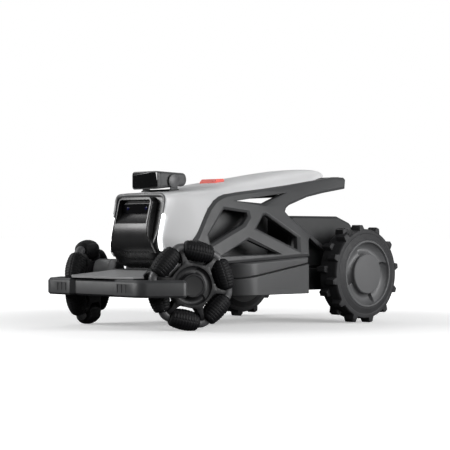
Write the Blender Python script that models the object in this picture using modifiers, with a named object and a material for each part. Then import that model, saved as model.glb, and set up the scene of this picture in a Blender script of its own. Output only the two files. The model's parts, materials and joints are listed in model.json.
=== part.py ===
"""Four-wheeled robotic lawn mower: omni-wheels in front, lugged drive wheels behind.

Metres, +Z up. The origin is on the ground under the middle of the machine,
the front faces -Y and the machine's left side is +X.
"""

import math

import bmesh
import bpy
from mathutils import Matrix, Vector

# ---------------------------------------------------------------- driving sizes
FRONT_Y = -0.3663            # front of the bumper
GAP = 0.0004                 # clearance between pieces that rest on each other

REAR_WHEEL_R = 0.1125
REAR_AXLE = Vector((0.2035, 0.2537, REAR_WHEEL_R))
TYRE_HALF = 0.0315
TYRE_CARCASS_R = 0.1032
TYRE_BEAD_R = 0.0775
TREAD_STEPS = 48             # four steps carry one lug of each row
TREAD_PHASE = math.radians(5.0)
HUB_DISC_R = 0.046

FRONT_WHEEL_R = 0.0953
FRONT_AXLE = Vector((0.1745, -0.2383, FRONT_WHEEL_R))
TOE_IN = math.radians(27.0)
ROLLERS = 6
ROLLER_R = 0.0223
ROLLER_HALF = 0.032
ROLLER_END_R = 0.0115
# Where the first roller sits, from the rear upwards; the two wheels stand at different turns.
ROLLER_PHASES = {"left": math.radians(18.0), "right": math.radians(33.0)}
AXLE_RING_R = FRONT_WHEEL_R - ROLLER_R       # apothem of the hexagon of roller axles
ROLLER_PIN_R = 0.003
ELBOW_R = 0.0105
OMNI_HUB_APOTHEM = 0.0485
OMNI_HUB_HALF = 0.018

TUB_HALF = 0.1335
TUB_BOTTOM = 0.075
TUB_TOP = 0.126
TUB_REAR = 0.335
SKIRT_X = 0.1965
SKIRT_REAR = 0.0985
BUMPER_BOTTOM = 0.0717
BUMPER_TOP = 0.1080

BLADE_AXIS = Vector((0.0, 0.008, 0.0))
BLADE_DISC_R = 0.075
BLADE_PIVOT_R = 0.066
BLADE_TIP_R = 0.100
BLADE_WELL_R = 0.108
SCREW_OFFSET = 0.048         # lift screw, behind the blade axis

PANEL_HALF = 0.0585
WINDOW_HALF = 0.0525
LENS_X = 0.0307
CAMERA_PIVOT = Vector((0.0, -0.1733, 0.3196))
CAMERA_HALF = 0.0442
BUTTON_Y = (-0.0313, -0.0023)
BUTTON_HALF = 0.026

# Side frame, as (y, z) outlines of its outer face.
FRAME_DEPTH = 0.016
FRAME_BEVEL = 0.006          # width of the sloping edge of each bar
FRAME_DROP = 0.0045          # how far that edge falls back
FRAME_OUTLINE = [
    (-0.183, 0.162), (-0.197, 0.1915), (-0.180, 0.217), (-0.164, 0.240), (-0.150, 0.2585),
    (-0.130, 0.2760), (-0.113, 0.2850), (-0.095, 0.2905), (-0.054, 0.2962), (0.028, 0.3055),
    (0.100, 0.3145), (0.218, 0.3308), (0.270, 0.3378), (0.3015, 0.3374), (0.3080, 0.3325),
    (0.299, 0.3108), (0.218, 0.2990), (0.160, 0.2885), (0.092, 0.2690), (0.079, 0.2620),
    (0.0725, 0.2540), (0.0810, 0.2425), (0.1060, 0.2222), (0.2035, 0.1765), (0.1930, 0.1635),
    (0.1310, 0.1953), (0.1165, 0.1875), (0.1020, 0.1535), (-0.140, 0.1385), (-0.172, 0.1445),
]
FRAME_OPENINGS = [
    [(-0.1065, 0.2575), (-0.0420, 0.2505), (-0.0425, 0.2420), (-0.0620, 0.2240), (-0.158, 0.1810),
     (-0.1600, 0.2000)],
    [(-0.0640, 0.2765), (0.0860, 0.2955), (0.0150, 0.2715)],
    [(0.0030, 0.2440), (0.0090, 0.2460), (0.0165, 0.2425), (0.0830, 0.1960), (0.0730, 0.1690),
     (-0.0260, 0.2155)],
    [(-0.0560, 0.1905), (0.0160, 0.1600), (-0.136, 0.1560)],
]

# Hood crest height and half-width along y.
HOOD_CREST = [
    (-0.245, 0.2925), (-0.216, 0.2950), (-0.130, 0.3035), (-0.068, 0.3120), (-0.033, 0.3190),
    (0.043, 0.3300), (0.100, 0.3390), (0.173, 0.3500), (0.220, 0.3555), (0.250, 0.3570),
    (0.270, 0.3535), (0.287, 0.3450),
]
HOOD_WIDTH = [
    (-0.245, 0.0830), (-0.155, 0.1130), (-0.110, 0.1085), (-0.050, 0.1075), (0.060, 0.1075),
    (0.190, 0.1005),
]
HOOD_EDGE = [
    (-0.245, 0.1650), (-0.200, 0.1700), (-0.160, 0.2330), (-0.110, 0.2770), (-0.054, 0.2890),
    (0.028, 0.2990), (0.096, 0.3080), (0.218, 0.3250), (0.287, 0.3350),
]
HOOD_TAIL_Y = 0.190
HOOD_END_Y = 0.287
HOOD_WALL = 0.0028

COLOURS = {
    "silver": ((0.58, 0.58, 0.59), 0.38, 0.35),
    "graphite": ((0.085, 0.087, 0.090), 0.45, 0.0),
    "charcoal": ((0.040, 0.041, 0.043), 0.55, 0.0),
    "rubber": ((0.018, 0.018, 0.019), 0.75, 0.0),
    "gloss_black": ((0.008, 0.008, 0.009), 0.08, 0.0),
    "glass_black": ((0.004, 0.004, 0.005), 0.04, 0.0),
    "lens_blue": ((0.02, 0.03, 0.16), 0.05, 0.0),
    "light_white": ((0.95, 0.96, 1.0), 0.25, 0.0),
    "coral": ((0.80, 0.10, 0.07), 0.35, 0.0),
    "motor_grey": ((0.20, 0.20, 0.21), 0.35, 0.6),
    "steel": ((0.55, 0.55, 0.56), 0.25, 1.0),
    "battery": ((0.05, 0.09, 0.14), 0.5, 0.0),
    "board": ((0.02, 0.16, 0.07), 0.5, 0.0),
    "brass": ((0.65, 0.48, 0.20), 0.3, 1.0),
}


# ---------------------------------------------------------------- scene and materials
def clear_scene():
    for old in list(bpy.data.objects):
        bpy.data.objects.remove(old, do_unlink=True)


def new_collection(name):
    collection = bpy.data.collections.new(name)
    bpy.context.scene.collection.children.link(collection)
    return collection


def make_material(name, colour, roughness, metallic):
    material = bpy.data.materials.new(name)
    material.use_nodes = True
    shader = material.node_tree.nodes["Principled BSDF"]
    shader.inputs["Base Color"].default_value = (*colour, 1.0)
    shader.inputs["Roughness"].default_value = roughness
    shader.inputs["Metallic"].default_value = metallic
    return material


clear_scene()
PARTS = new_collection("robotic_lawn_mower")
CUTTERS = new_collection("cutters")


# ---------------------------------------------------------------- shape helpers
def evaluated_mesh(obj):
    """The object's mesh with its modifiers applied."""
    bpy.context.view_layer.update()
    graph = bpy.context.evaluated_depsgraph_get()
    return bpy.data.meshes.new_from_object(obj.evaluated_get(graph), depsgraph=graph)


def object_from(mesh, name="shape"):
    obj = bpy.data.objects.new(name, mesh)
    CUTTERS.objects.link(obj)
    obj.hide_render = True
    obj.display_type = "WIRE"
    return obj


def baked(obj):
    """Replaces the object by a plain mesh of its evaluated shape."""
    mesh = evaluated_mesh(obj)
    old = obj.data
    if obj.type == "CURVE":
        new = object_from(mesh, obj.name)
        new.matrix_world = obj.matrix_world
        bpy.data.objects.remove(obj, do_unlink=True)
        weld(mesh)
        return new
    obj.modifiers.clear()
    obj.data = mesh
    bpy.data.meshes.remove(old)
    return obj


def weld(mesh):
    shape = bmesh.new()
    shape.from_mesh(mesh)
    bmesh.ops.remove_doubles(shape, verts=shape.verts, dist=1e-6)
    bmesh.ops.recalc_face_normals(shape, faces=shape.faces)
    shape.to_mesh(mesh)
    shape.free()


def from_bmesh(shape):
    mesh = bpy.data.meshes.new("shape")
    bmesh.ops.recalc_face_normals(shape, faces=shape.faces)
    shape.to_mesh(mesh)
    shape.free()
    return object_from(mesh)


def box(low, high):
    shape = bmesh.new()
    low, high = Vector(low), Vector(high)
    bmesh.ops.create_cube(shape, size=1.0)
    size = high - low
    bmesh.ops.transform(shape, matrix=Matrix.Diagonal((*size, 1.0)), verts=shape.verts)
    bmesh.ops.translate(shape, vec=(low + high) / 2, verts=shape.verts)
    return from_bmesh(shape)


def cylinder(radius, low, high, segments=24, centre=(0.0, 0.0)):
    """An upright cylinder between two heights."""
    shape = bmesh.new()
    bmesh.ops.create_cone(
        shape,
        cap_ends=True,
        segments=segments,
        radius1=radius,
        radius2=radius,
        depth=high - low,
    )
    bmesh.ops.translate(shape, vec=(*centre, (low + high) / 2), verts=shape.verts)
    return from_bmesh(shape)


def prism(outlines, low, high):
    """Flat outlines in local XY, the first one outside and the rest holes, from z=low to z=high."""
    curve = bpy.data.curves.new("outline", "CURVE")
    curve.dimensions = "2D"
    curve.fill_mode = "BOTH"
    curve.extrude = (high - low) / 2
    for outline in outlines:
        spline = curve.splines.new("POLY")
        spline.points.add(len(outline) - 1)
        for point, (x, y) in zip(spline.points, outline):
            point.co = (x, y, 0.0, 1.0)
        spline.use_cyclic_u = True
    obj = baked(object_from(curve))
    move(obj, Matrix.Translation((0, 0, (low + high) / 2)))
    return obj


def turned(profile, steps):
    """A closed (radius, height) profile turned about local Z; its outer side runs downwards."""
    mesh = bpy.data.meshes.new("profile")
    count = len(profile)
    edges = [(i, (i + 1) % count) for i in range(count)]
    mesh.from_pydata([(r, 0.0, h) for r, h in profile], edges, [])
    obj = object_from(mesh)
    screw = obj.modifiers.new("turn", "SCREW")
    screw.steps = steps
    screw.render_steps = steps
    screw.use_merge_vertices = True
    screw.merge_threshold = 1e-5
    obj = baked(obj)
    weld(obj.data)
    return obj


def tube(points, radius, resolution=2):
    curve = bpy.data.curves.new("tube", "CURVE")
    curve.dimensions = "3D"
    curve.bevel_depth = radius
    curve.bevel_resolution = resolution
    curve.use_fill_caps = True
    spline = curve.splines.new("POLY")
    spline.points.add(len(points) - 1)
    for point, place in zip(spline.points, points):
        point.co = (*place, 1.0)
    return baked(object_from(curve))


def move(obj, matrix):
    """Moves the mesh itself, leaving the object's own placement alone."""
    obj.data.transform(matrix)
    if matrix.determinant() < 0:
        obj.data.flip_normals()
    return obj


def boolean(obj, other, operation):
    modifier = obj.modifiers.new("boolean", "BOOLEAN")
    modifier.operation = operation
    modifier.object = other
    modifier.solver = "EXACT"
    obj = baked(obj)
    bpy.data.objects.remove(other, do_unlink=True)
    return obj


def cut(obj, *others):
    for other in others:
        obj = boolean(obj, other, "DIFFERENCE")
    return obj


def union(obj, *others):
    for other in others:
        obj = boolean(obj, other, "UNION")
    return obj


def chamfered(obj, width, segments=1, angle=30.0):
    bevel = obj.modifiers.new("edges", "BEVEL")
    bevel.width = width
    bevel.segments = segments
    bevel.limit_method = "ANGLE"
    bevel.angle_limit = math.radians(angle)
    bevel.use_clamp_overlap = True
    return baked(obj)


def part(obj, name, material, placement=None):
    """Finishes a shape as a named part, with its origin at the placement's origin."""
    obj.name = name
    obj.data.name = name
    obj.matrix_world = placement or Matrix.Identity(4)
    obj.data.materials.clear()
    obj.data.materials.append(MATERIALS[material])
    obj.data.shade_smooth()
    obj.data.set_sharp_from_angle(angle=math.radians(35))
    CUTTERS.objects.unlink(obj)
    PARTS.objects.link(obj)
    obj.hide_render = False
    obj.display_type = "TEXTURED"
    return obj


def mirrored_part(left, name):
    """The right-hand twin of a left part, with its origin at the mirrored place."""
    bpy.context.view_layer.update()
    mesh = left.data.copy()
    origin = Vector(left.matrix_world.translation)
    origin.x = -origin.x
    mirror = Matrix.Diagonal((-1.0, 1.0, 1.0, 1.0))
    mesh.transform(Matrix.Translation(-origin) @ mirror @ left.matrix_world)
    mesh.flip_normals()
    twin = bpy.data.objects.new(name, mesh)
    twin.location = origin
    PARTS.objects.link(twin)
    return twin


def one_side(shape, name, side, material, placement):
    """A part on one side only, from the shape that it has on the left."""
    left = part(shape, f"{name}_left", material, placement)
    if side == "left":
        return left
    right = mirrored_part(left, f"{name}_right")
    bpy.data.objects.remove(left, do_unlink=True)
    return right


def pair(obj, name, material, placement=None):
    left = part(obj, name + "_left", material, placement)
    return left, mirrored_part(left, name + "_right")


def along(table, y):
    """Linear interpolation in a table of (y, value)."""
    if y <= table[0][0]:
        return table[0][1]
    for (y0, v0), (y1, v1) in zip(table, table[1:]):
        if y <= y1:
            return v0 + (v1 - v0) * (y - y0) / (y1 - y0)
    return table[-1][1]


def smoothstep(low, high, value):
    t = min(max((value - low) / (high - low), 0.0), 1.0)
    return t * t * (3.0 - 2.0 * t)


def arc(centre, radius, start, end, steps):
    """Points along a circular arc, angles in degrees."""
    angles = [math.radians(start + (end - start) * i / steps) for i in range(steps + 1)]
    return [(centre[0] + radius * math.cos(a), centre[1] + radius * math.sin(a)) for a in angles]


def both_sides(half):
    """Closes a half outline given from the front to the rear at x > 0 by its mirror image."""
    return half + [(-x, y) for x, y in reversed(half)]


# ---------------------------------------------------------------- placements
def wheel_frame(centre, toe):
    """Local X rearwards, local Y up, local Z out of the machine's left side."""
    rear = Vector((math.sin(toe), math.cos(toe), 0.0))
    up = Vector((0.0, 0.0, 1.0))
    out = rear.cross(up)
    rows = [(rear[i], up[i], out[i], centre[i]) for i in range(3)]
    return Matrix([*rows, (0.0, 0.0, 0.0, 1.0)])


FRONT_PLACE = wheel_frame(FRONT_AXLE, TOE_IN)
REAR_PLACE = wheel_frame(REAR_AXLE, 0.0)
SIDE_VIEW = Matrix(((0, 0, 1, 0), (1, 0, 0, 0), (0, 1, 0, 0), (0, 0, 0, 1)))   # XY -> YZ
FRONT_VIEW = Matrix(((1, 0, 0, 0), (0, 0, -1, 0), (0, 1, 0, 0), (0, 0, 0, 1)))  # XY -> XZ


# ---------------------------------------------------------------- front omni-wheels
def roller():
    """A barrel that completes the wheel's circle, with rounded ends, bored for its axle pin."""
    stations = [ROLLER_HALF * k for k in (0.84, 0.50, 0.0, -0.50, -0.84)]
    crown = [(math.sqrt(FRONT_WHEEL_R**2 - s * s) - AXLE_RING_R, s) for s in stations]
    bore = ROLLER_PIN_R + 0.0005
    ends = [(ROLLER_END_R, -ROLLER_HALF), (bore, -ROLLER_HALF), (bore, ROLLER_HALF),
            (ROLLER_END_R, ROLLER_HALF)]
    return turned(crown + ends, 12)


def roller_place(index, phase):
    """Local Z along the roller's axle, on the hexagon of axles."""
    turn = Matrix.Rotation(phase + index * math.tau / ROLLERS, 4, "Z")
    out = Matrix.Translation((AXLE_RING_R, 0.0, 0.0))
    return FRONT_PLACE @ turn @ out @ Matrix.Rotation(-math.pi / 2, 4, "X")


def elbow(index, phase):
    """A bent sleeve at one corner of the axle hexagon, holding two roller axles."""
    half_side = AXLE_RING_R * math.tan(math.pi / ROLLERS)
    reach = half_side - ROLLER_HALF - 0.0006
    middle = phase + (index + 0.5) * math.tau / ROLLERS
    corner = Vector((math.cos(middle), math.sin(middle), 0.0)) * AXLE_RING_R
    corner /= math.cos(math.pi / ROLLERS)
    points = []
    for turn, share in ((-1, 1.0), (-1, 0.4), (1, 0.4), (1, 1.0)):
        heading = middle + turn * (math.pi / 2 + math.pi / ROLLERS)
        side = Vector((math.cos(heading), math.sin(heading), 0.0))
        points.append(corner + side * reach * share)
    return tube(points, ELBOW_R)


def axle_pin(index, phase):
    """A straight pin through one roller, from elbow to elbow."""
    half_side = AXLE_RING_R * math.tan(math.pi / ROLLERS)
    pin = cylinder(ROLLER_PIN_R, -half_side, half_side, segments=8)
    move(pin, Matrix.Rotation(-math.pi / 2, 4, "X"))
    move(pin, Matrix.Translation((AXLE_RING_R, 0.0, 0.0)))
    return move(pin, Matrix.Rotation(phase + index * math.tau / ROLLERS, 4, "Z"))


def spoke(index, phase):
    """Two cheek arms from the hub's corner, joined by a block that holds the elbow."""
    arm = box((0.0727, -0.0045, -0.0165), (0.080, 0.0045, 0.0165))
    for side in (-1, 1):
        low, high = sorted((side * 0.0108, side * 0.0165))
        arm = union(arm, box((0.040, -0.0045, low), (0.078, 0.0045, high)))
    return move(arm, Matrix.Rotation(phase + (index + 0.5) * math.tau / ROLLERS, 4, "Z"))


def omni_hub(phase):
    corner_r = OMNI_HUB_APOTHEM / math.cos(math.pi / ROLLERS)
    hub = cylinder(corner_r, -OMNI_HUB_HALF, OMNI_HUB_HALF, segments=ROLLERS)
    # create_cone puts its first corner on the local Y axis.
    move(hub, Matrix.Rotation(phase + math.pi / ROLLERS - math.pi / 2, 4, "Z"))
    hub = chamfered(hub, 0.003)
    shaft = cylinder(0.008, -OMNI_HUB_HALF - 0.024, -OMNI_HUB_HALF + 0.004, segments=12)
    loose = [shaft]
    for index in range(ROLLERS):
        loose += [elbow(index, phase), axle_pin(index, phase), spoke(index, phase)]
    for shape in loose:
        hub = union(hub, shape)
    groove = turned([(0.044, 0.0172), (0.044, 0.02), (0.041, 0.02), (0.041, 0.0172)][::-1], 24)
    return cut(hub, groove)


def front_wheels():
    for side, phase in ROLLER_PHASES.items():
        one_side(omni_hub(phase), "omni_hub", side, "charcoal", FRONT_PLACE)
        for index in range(ROLLERS):
            place = roller_place(index, phase)
            one_side(roller(), f"omni_roller_{index + 1}", side, "rubber", place)
    face = OMNI_HUB_HALF + GAP
    cap = turned([(0.0, face + 0.0055), (0.0225, face + 0.0055), (0.027, face + 0.002),
                  (0.027, face), (0.0, face)], 24)
    pair(cap, "omni_hub_cap", "gloss_black", FRONT_PLACE)
    top, bottom = arc((0.0, 0.0250), 0.0275, 0, 180, 10), arc((0.0, 0.0), 0.0240, 180, 360, 8)
    motor = prism([top + bottom], -0.080, -OMNI_HUB_HALF - 0.0035)
    motor = cut(motor, cylinder(0.0085, -0.045, 0.0, segments=12))
    pair(motor, "front_gear_motor", "motor_grey", FRONT_PLACE)


# ---------------------------------------------------------------- rear drive wheels
def tyre():
    """A ring with two rows of block lugs, staggered by half a pitch."""
    rows = [TYRE_HALF - 0.003, 0.0, -TYRE_HALF + 0.003]
    profile = [(TYRE_CARCASS_R, rows[0]), (TYRE_CARCASS_R, rows[1]), (TYRE_CARCASS_R, rows[2]),
               (TYRE_CARCASS_R - 0.005, -TYRE_HALF), (TYRE_BEAD_R, -TYRE_HALF),
               (TYRE_BEAD_R, TYRE_HALF), (TYRE_CARCASS_R - 0.005, TYRE_HALF)]
    obj = turned(profile, TREAD_STEPS)
    shape = bmesh.new()
    shape.from_mesh(obj.data)
    lugs = []
    for face in shape.faces:
        middle = face.calc_center_median()
        if math.hypot(middle.x, middle.y) < TYRE_CARCASS_R - 0.002:
            continue
        step = int(math.atan2(middle.y, middle.x) % math.tau / (math.tau / TREAD_STEPS))
        if step % 4 == (0 if middle.z > 0 else 2):
            lugs.append(face)
    height = REAR_WHEEL_R / TYRE_CARCASS_R
    for face in lugs:
        made = bmesh.ops.extrude_face_region(shape, geom=[face])["geom"]
        raised = [item for item in made if isinstance(item, bmesh.types.BMVert)]
        for vertex in raised:
            vertex.co.x *= height
            vertex.co.y *= height
    bmesh.ops.delete(shape, geom=[face for face in lugs if face.is_valid], context="FACES_ONLY")
    shape.to_mesh(obj.data)
    shape.free()
    return move(obj, Matrix.Rotation(TREAD_PHASE, 4, "Z"))


def rim():
    """A dished rim with a stub shaft that enters the gear motor."""
    edge = TYRE_BEAD_R - GAP
    profile = [(edge, 0.029), (edge, -0.029), (0.060, -0.029), (0.020, -0.029), (0.009, -0.029),
               (0.009, -0.055), (0.0, -0.055), (0.0, 0.018), (0.046, 0.018), (0.052, 0.006),
               (0.064, 0.006), (0.071, 0.029)]
    return turned(profile, 32)


def rear_wheels():
    pair(tyre(), "drive_tyre", "rubber", REAR_PLACE)
    pair(rim(), "drive_rim", "charcoal", REAR_PLACE)
    face = 0.018 + GAP
    disc = turned([(0.0, 0.0305), (HUB_DISC_R - 0.003, 0.0305), (HUB_DISC_R - 0.001, 0.0285),
                   (HUB_DISC_R - 0.001, face), (0.0, face)], 32)
    pair(disc, "hub_disc", "graphite", REAR_PLACE)
    inner = TUB_HALF + GAP - REAR_AXLE.x
    motor = cylinder(0.042, inner, -0.0345, segments=28)
    motor = cut(motor, cylinder(0.0095, -0.060, 0.0, segments=12))
    pair(motor, "rear_gear_motor", "motor_grey", REAR_PLACE)


# ---------------------------------------------------------------- chassis and covers
def chassis_tub():
    """The lower body, with the blade well below and guides for the bumper's arms in front."""
    out = Vector((math.cos(TOE_IN), -math.sin(TOE_IN)))
    along_wheel = Vector((math.sin(TOE_IN), math.cos(TOE_IN)))
    motor_end = Vector(FRONT_AXLE[:2]) - out * (0.080 + GAP)
    corner = motor_end + along_wheel * ((TUB_HALF - motor_end.x) / along_wheel.x)
    nose = motor_end - along_wheel * 0.050
    half = [(0.060, -0.2500), tuple(nose), tuple(corner), (TUB_HALF, 0.310), (0.115, TUB_REAR)]
    tub = prism([both_sides(half)], TUB_BOTTOM, TUB_TOP)
    tub = chamfered(tub, 0.003)
    well = cylinder(BLADE_WELL_R, 0.05, 0.118, segments=40, centre=BLADE_AXIS[:2])
    throat = cylinder(0.0385, 0.05, 0.15, segments=28, centre=BLADE_AXIS[:2])
    screw_hole = cylinder(0.007, 0.05, 0.15, segments=12, centre=(0.0, BLADE_AXIS.y + SCREW_OFFSET))
    tub = cut(tub, well, throat, screw_hole)
    for side in (-1, 1):
        low = (side * 0.040 - 0.0085, -0.30, 0.0835)
        tub = cut(tub, box(low, (side * 0.040 + 0.0085, -0.195, 0.0965)))
    return tub


def upper_housing():
    """The inner cover over the battery, the controller and the lift."""
    def outline(inset):
        half = [(0.070 - inset, -0.205 + inset), (0.100 - inset, -0.120 + inset),
                (0.100 - inset, 0.060 - inset), (0.085 - inset, 0.078 - inset)]
        return both_sides(half)

    base = TUB_TOP + GAP
    housing = prism([outline(0.0)], base, 0.268)
    housing = chamfered(housing, 0.006)
    return cut(housing, prism([outline(0.004)], 0.10, 0.262))


def skirt_outline(inset):
    corner = arc((SKIRT_X - 0.050, -0.060), 0.050 - inset, 0, -78, 6)
    inner = TUB_HALF + GAP
    return [(inner, SKIRT_REAR), (SKIRT_X - inset, SKIRT_REAR), *corner,
            (inner, corner[-1][1] - 0.004)]


def cut_above(obj, z_front, z_rear):
    """Removes what lies above a plane that slopes from z_front at y=-0.13 to z_rear at the rear."""
    slope = (z_rear - z_front) / (SKIRT_REAR + 0.130)
    lid = box((-0.3, -0.3, 0.0), (0.3, 0.3, 0.2))
    for vertex in lid.data.vertices:
        vertex.co.z += z_front + slope * (vertex.co.y + 0.130)
    return cut(obj, lid)


def skirts():
    lower = cut_above(prism([skirt_outline(0.0)], 0.0705, 0.150), 0.101, 0.137)
    pair(chamfered(lower, 0.002, angle=50), "skirt_lower", "graphite")
    upper = prism([skirt_outline(0.0008)], 0.060, 0.170)
    upper = cut_above(upper, 0.1382, 0.1530)
    floor = box((-0.3, -0.3, -0.2), (0.3, 0.3, 0.0))
    for vertex in floor.data.vertices:
        vertex.co.z += 0.1016 + 0.036 / 0.226 * (vertex.co.y + 0.130)
    upper = cut(upper, floor)
    pair(chamfered(upper, 0.003, angle=50), "skirt_upper", "graphite")


def frame_surface(y, z):
    """Distance of the frame's outer face from the mid-plane: it leans in and tapers forward."""
    foot = 0.190 + 0.143 * (min(y, 0.0837) - 0.0837)
    lean = min(max((z - 0.170) / 0.140, -0.3), 1.1)
    brace = 0.45 * max(0.0, y - 0.115) * smoothstep(0.245, 0.215, z)
    return foot + (0.125 - foot) * lean - brace


def inset(outline, distance):
    """The outline moved into its own left-hand side, with mitred corners of limited length."""
    moved = []
    for i, point in enumerate(outline):
        corner = Vector(point)
        before = (corner - Vector(outline[i - 1])).normalized()
        after = (Vector(outline[(i + 1) % len(outline)]) - corner).normalized()
        middle = (before + after).normalized()
        share = min(1.0 / max(middle.dot(before), 0.3), 1.5)
        moved.append(tuple(corner + Vector((-middle.y, middle.x)) * distance * share))
    return moved


def turned_left(outline):
    """The outline in the order that keeps its inside on the left."""
    area = sum(outline[i - 1][0] * y - x * outline[i - 1][1] for i, (x, y) in enumerate(outline))
    return list(outline) if area > 0 else list(outline)[::-1]


def bevelled_plate(outer, openings, depth, width, drop):
    """A plate whose front edges slope back round the outside and round each opening."""
    loops = [(turned_left(outer), 1)] + [(turned_left(hole), -1) for hole in openings]
    shape = bmesh.new()
    ends = {"front": [], "back": []}
    for outline, way in loops:
        levels = [(outline, -depth), (outline, -drop), (inset(outline, way * width), 0.0)]
        rings = [[shape.verts.new((x, y, z)) for x, y in ring] for ring, z in levels]
        count = len(outline)
        for low, high in zip(rings, rings[1:]):
            for i in range(count):
                k = (i + 1) % count
                shape.faces.new((low[i], low[k], high[k], high[i]))
        for name, ring in (("back", rings[0]), ("front", rings[-1])):
            ends[name] += [shape.edges.get((ring[i], ring[(i + 1) % count])) for i in range(count)]
    for edges in ends.values():
        bmesh.ops.triangle_fill(shape, use_beauty=True, edges=edges)
    return from_bmesh(shape)


def side_frame():
    frame = bevelled_plate(FRAME_OUTLINE, FRAME_OPENINGS, FRAME_DEPTH, FRAME_BEVEL, FRAME_DROP)
    move(frame, SIDE_VIEW)
    for vertex in frame.data.vertices:
        vertex.co.x += frame_surface(vertex.co.y, vertex.co.z)
        if vertex.co.z < 0.18 and vertex.co.y > 0.12:
            vertex.co.x = max(vertex.co.x, TUB_HALF + GAP)
    return frame


def hood_point(y_share, angle):
    """One point of the hood: y_share runs from the front rim to the tail, angle across it."""
    y = -0.2385 + (HOOD_END_Y + 0.2385) * y_share
    crest = along(HOOD_CREST, y)
    edge = along(HOOD_EDGE, y)
    width = along(HOOD_WIDTH, y)
    if y > HOOD_TAIL_Y:
        share = (y - HOOD_TAIL_Y) / (HOOD_END_Y - HOOD_TAIL_Y)
        width *= max(math.sqrt(1.0 - share * share), 0.22)
        edge += (crest - edge) * 0.3 * share
    power = 2.0 / (5.5 - 2.6 * smoothstep(-0.20, -0.05, y))
    across = math.copysign(abs(math.sin(angle)) ** power, math.sin(angle))
    z = edge + (crest - edge) * abs(math.cos(angle)) ** power
    flare = 1.0 + 1.2 * smoothstep(-0.245, -0.165, y) * max(0.0, crest - 0.020 - z)
    bulge = min(0.22 * (z - 0.190), 0.019) if z > 0.190 else 0.37 * (0.190 - z)
    shift = (bulge - 0.0085) * (1.0 - smoothstep(0.0, 0.15, y_share))
    return (width * across * flare, y + shift, z)


def hood_shell():
    columns, rows = 18, 14
    shape = bmesh.new()
    bmesh.ops.create_grid(shape, x_segments=columns, y_segments=rows, size=0.5)
    for vertex in shape.verts:
        angle = vertex.co.x * math.pi * 0.999
        vertex.co = hood_point(vertex.co.y + 0.5, angle)
    hood = from_bmesh(shape)
    wall = hood.modifiers.new("wall", "SOLIDIFY")
    wall.thickness = HOOD_WALL
    wall.offset = -1.0 if hood_faces_up(hood) else 1.0
    hood = baked(hood)
    weld(hood.data)
    margin = 0.0012
    hole = box((-BUTTON_HALF - margin, BUTTON_Y[0] - margin, 0.29),
               (BUTTON_HALF + margin, BUTTON_Y[1] + margin, 0.36))
    return cut(hood, hole)


def hood_faces_up(hood):
    top = max(hood.data.polygons, key=lambda polygon: polygon.center.z)
    return top.normal.z > 0


def rear_cover():
    """The shell between the drive wheels, open below, its rear sloping down."""
    def block(inset, bottom):
        side = [(0.102 + inset, bottom), (0.102 + inset, 0.236 - inset),
                (0.112 + inset, 0.245 - inset), (0.262 - inset, 0.245 - inset),
                (0.310 - inset, 0.228 - inset), (0.334 - inset, 0.180), (0.334 - inset, bottom)]
        half = 0.1325 - inset
        return move(prism([side], -half, half), SIDE_VIEW)

    wall = 0.006
    return cut(chamfered(block(0.0, TUB_TOP + GAP), 0.005), block(wall, 0.10))


def tail_crossbar():
    half = 0.1020
    side = [(0.268, 0.318), (0.268, 0.329), (0.272, 0.333), (0.2890, 0.3335), (0.2900, 0.3385),
            (0.2985, 0.3390), (0.3015, 0.3360), (0.2975, 0.318)]
    return move(prism([side], -half, half), SIDE_VIEW)


def rounded_rectangle(half, low, high, radius, steps=4):
    points = []
    for centre, start in (((half - radius, low + radius), -90), ((half - radius, high - radius), 0),
                          ((-half + radius, high - radius), 90), ((-half + radius, low + radius), 180)):
        points += arc(centre, radius, start, start + 90, steps)
    return points


def fascia():
    """The dark nose: a bezel plate and a raised middle panel with a deep camera window."""
    bezel = prism([rounded_rectangle(0.0735, 0.136, 0.2845, 0.022)], 0.2065, 0.234)
    move(bezel, FRONT_VIEW)
    side = [(-0.2440, 0.2830), (-0.2535, 0.245), (-0.2600, 0.215), (-0.2603, 0.195),
            (-0.2560, 0.170), (-0.2450, 0.148), (-0.2300, 0.131), (-0.2220, 0.129),
            (-0.2065, 0.129), (-0.2065, 0.2830)]
    panel = move(prism([side], -PANEL_HALF, PANEL_HALF), SIDE_VIEW)
    nose = union(bezel, panel)
    recess = [(-0.2345, 0.2480), (-0.2345, 0.2785), (-0.3000, 0.2785), (-0.3000, 0.1805),
              (-0.2388, 0.2480)]
    return cut(nose, move(prism([recess], -WINDOW_HALF, WINDOW_HALF), SIDE_VIEW))


def vision_bar():
    bar = [rounded_rectangle(WINDOW_HALF - 0.002, 0.2485, 0.2700, 0.004)]
    window = prism(bar, 0.2349, 0.2385)
    obj = move(window, FRONT_VIEW)
    for side in (-1, 1):
        seat = cylinder(0.0040, 0.2365, 0.25, segments=12, centre=(side * LENS_X, 0.2595))
        obj = cut(obj, move(seat, FRONT_VIEW))
    return obj


def vision_lens(side):
    lens = cylinder(0.0036, 0.2369, 0.2397, segments=12, centre=(side * LENS_X, 0.2595))
    return move(lens, FRONT_VIEW)


def light_strip():
    points = [(0.0845, -0.2400, 0.2415), (0.0822, -0.2485, 0.2160), (0.0812, -0.2513, 0.1900),
              (0.0822, -0.2485, 0.1760), (0.0845, -0.2430, 0.1680)]
    return tube(points, 0.0036, resolution=1)


def front_deck_plate():
    """The flat wing plate that ties the nose to the bumper's guides."""
    half = [(0.050, -0.3370), (0.105, -0.3370), (0.124, -0.3240), (0.100, -0.3050),
            (0.062, -0.2600)]
    plate = prism([both_sides(half)], 0.1085, 0.1130)
    for vertex in plate.data.vertices:
        vertex.co.z += 0.012 * smoothstep(-0.337, -0.260, vertex.co.y)
    return chamfered(plate, 0.001)


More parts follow.
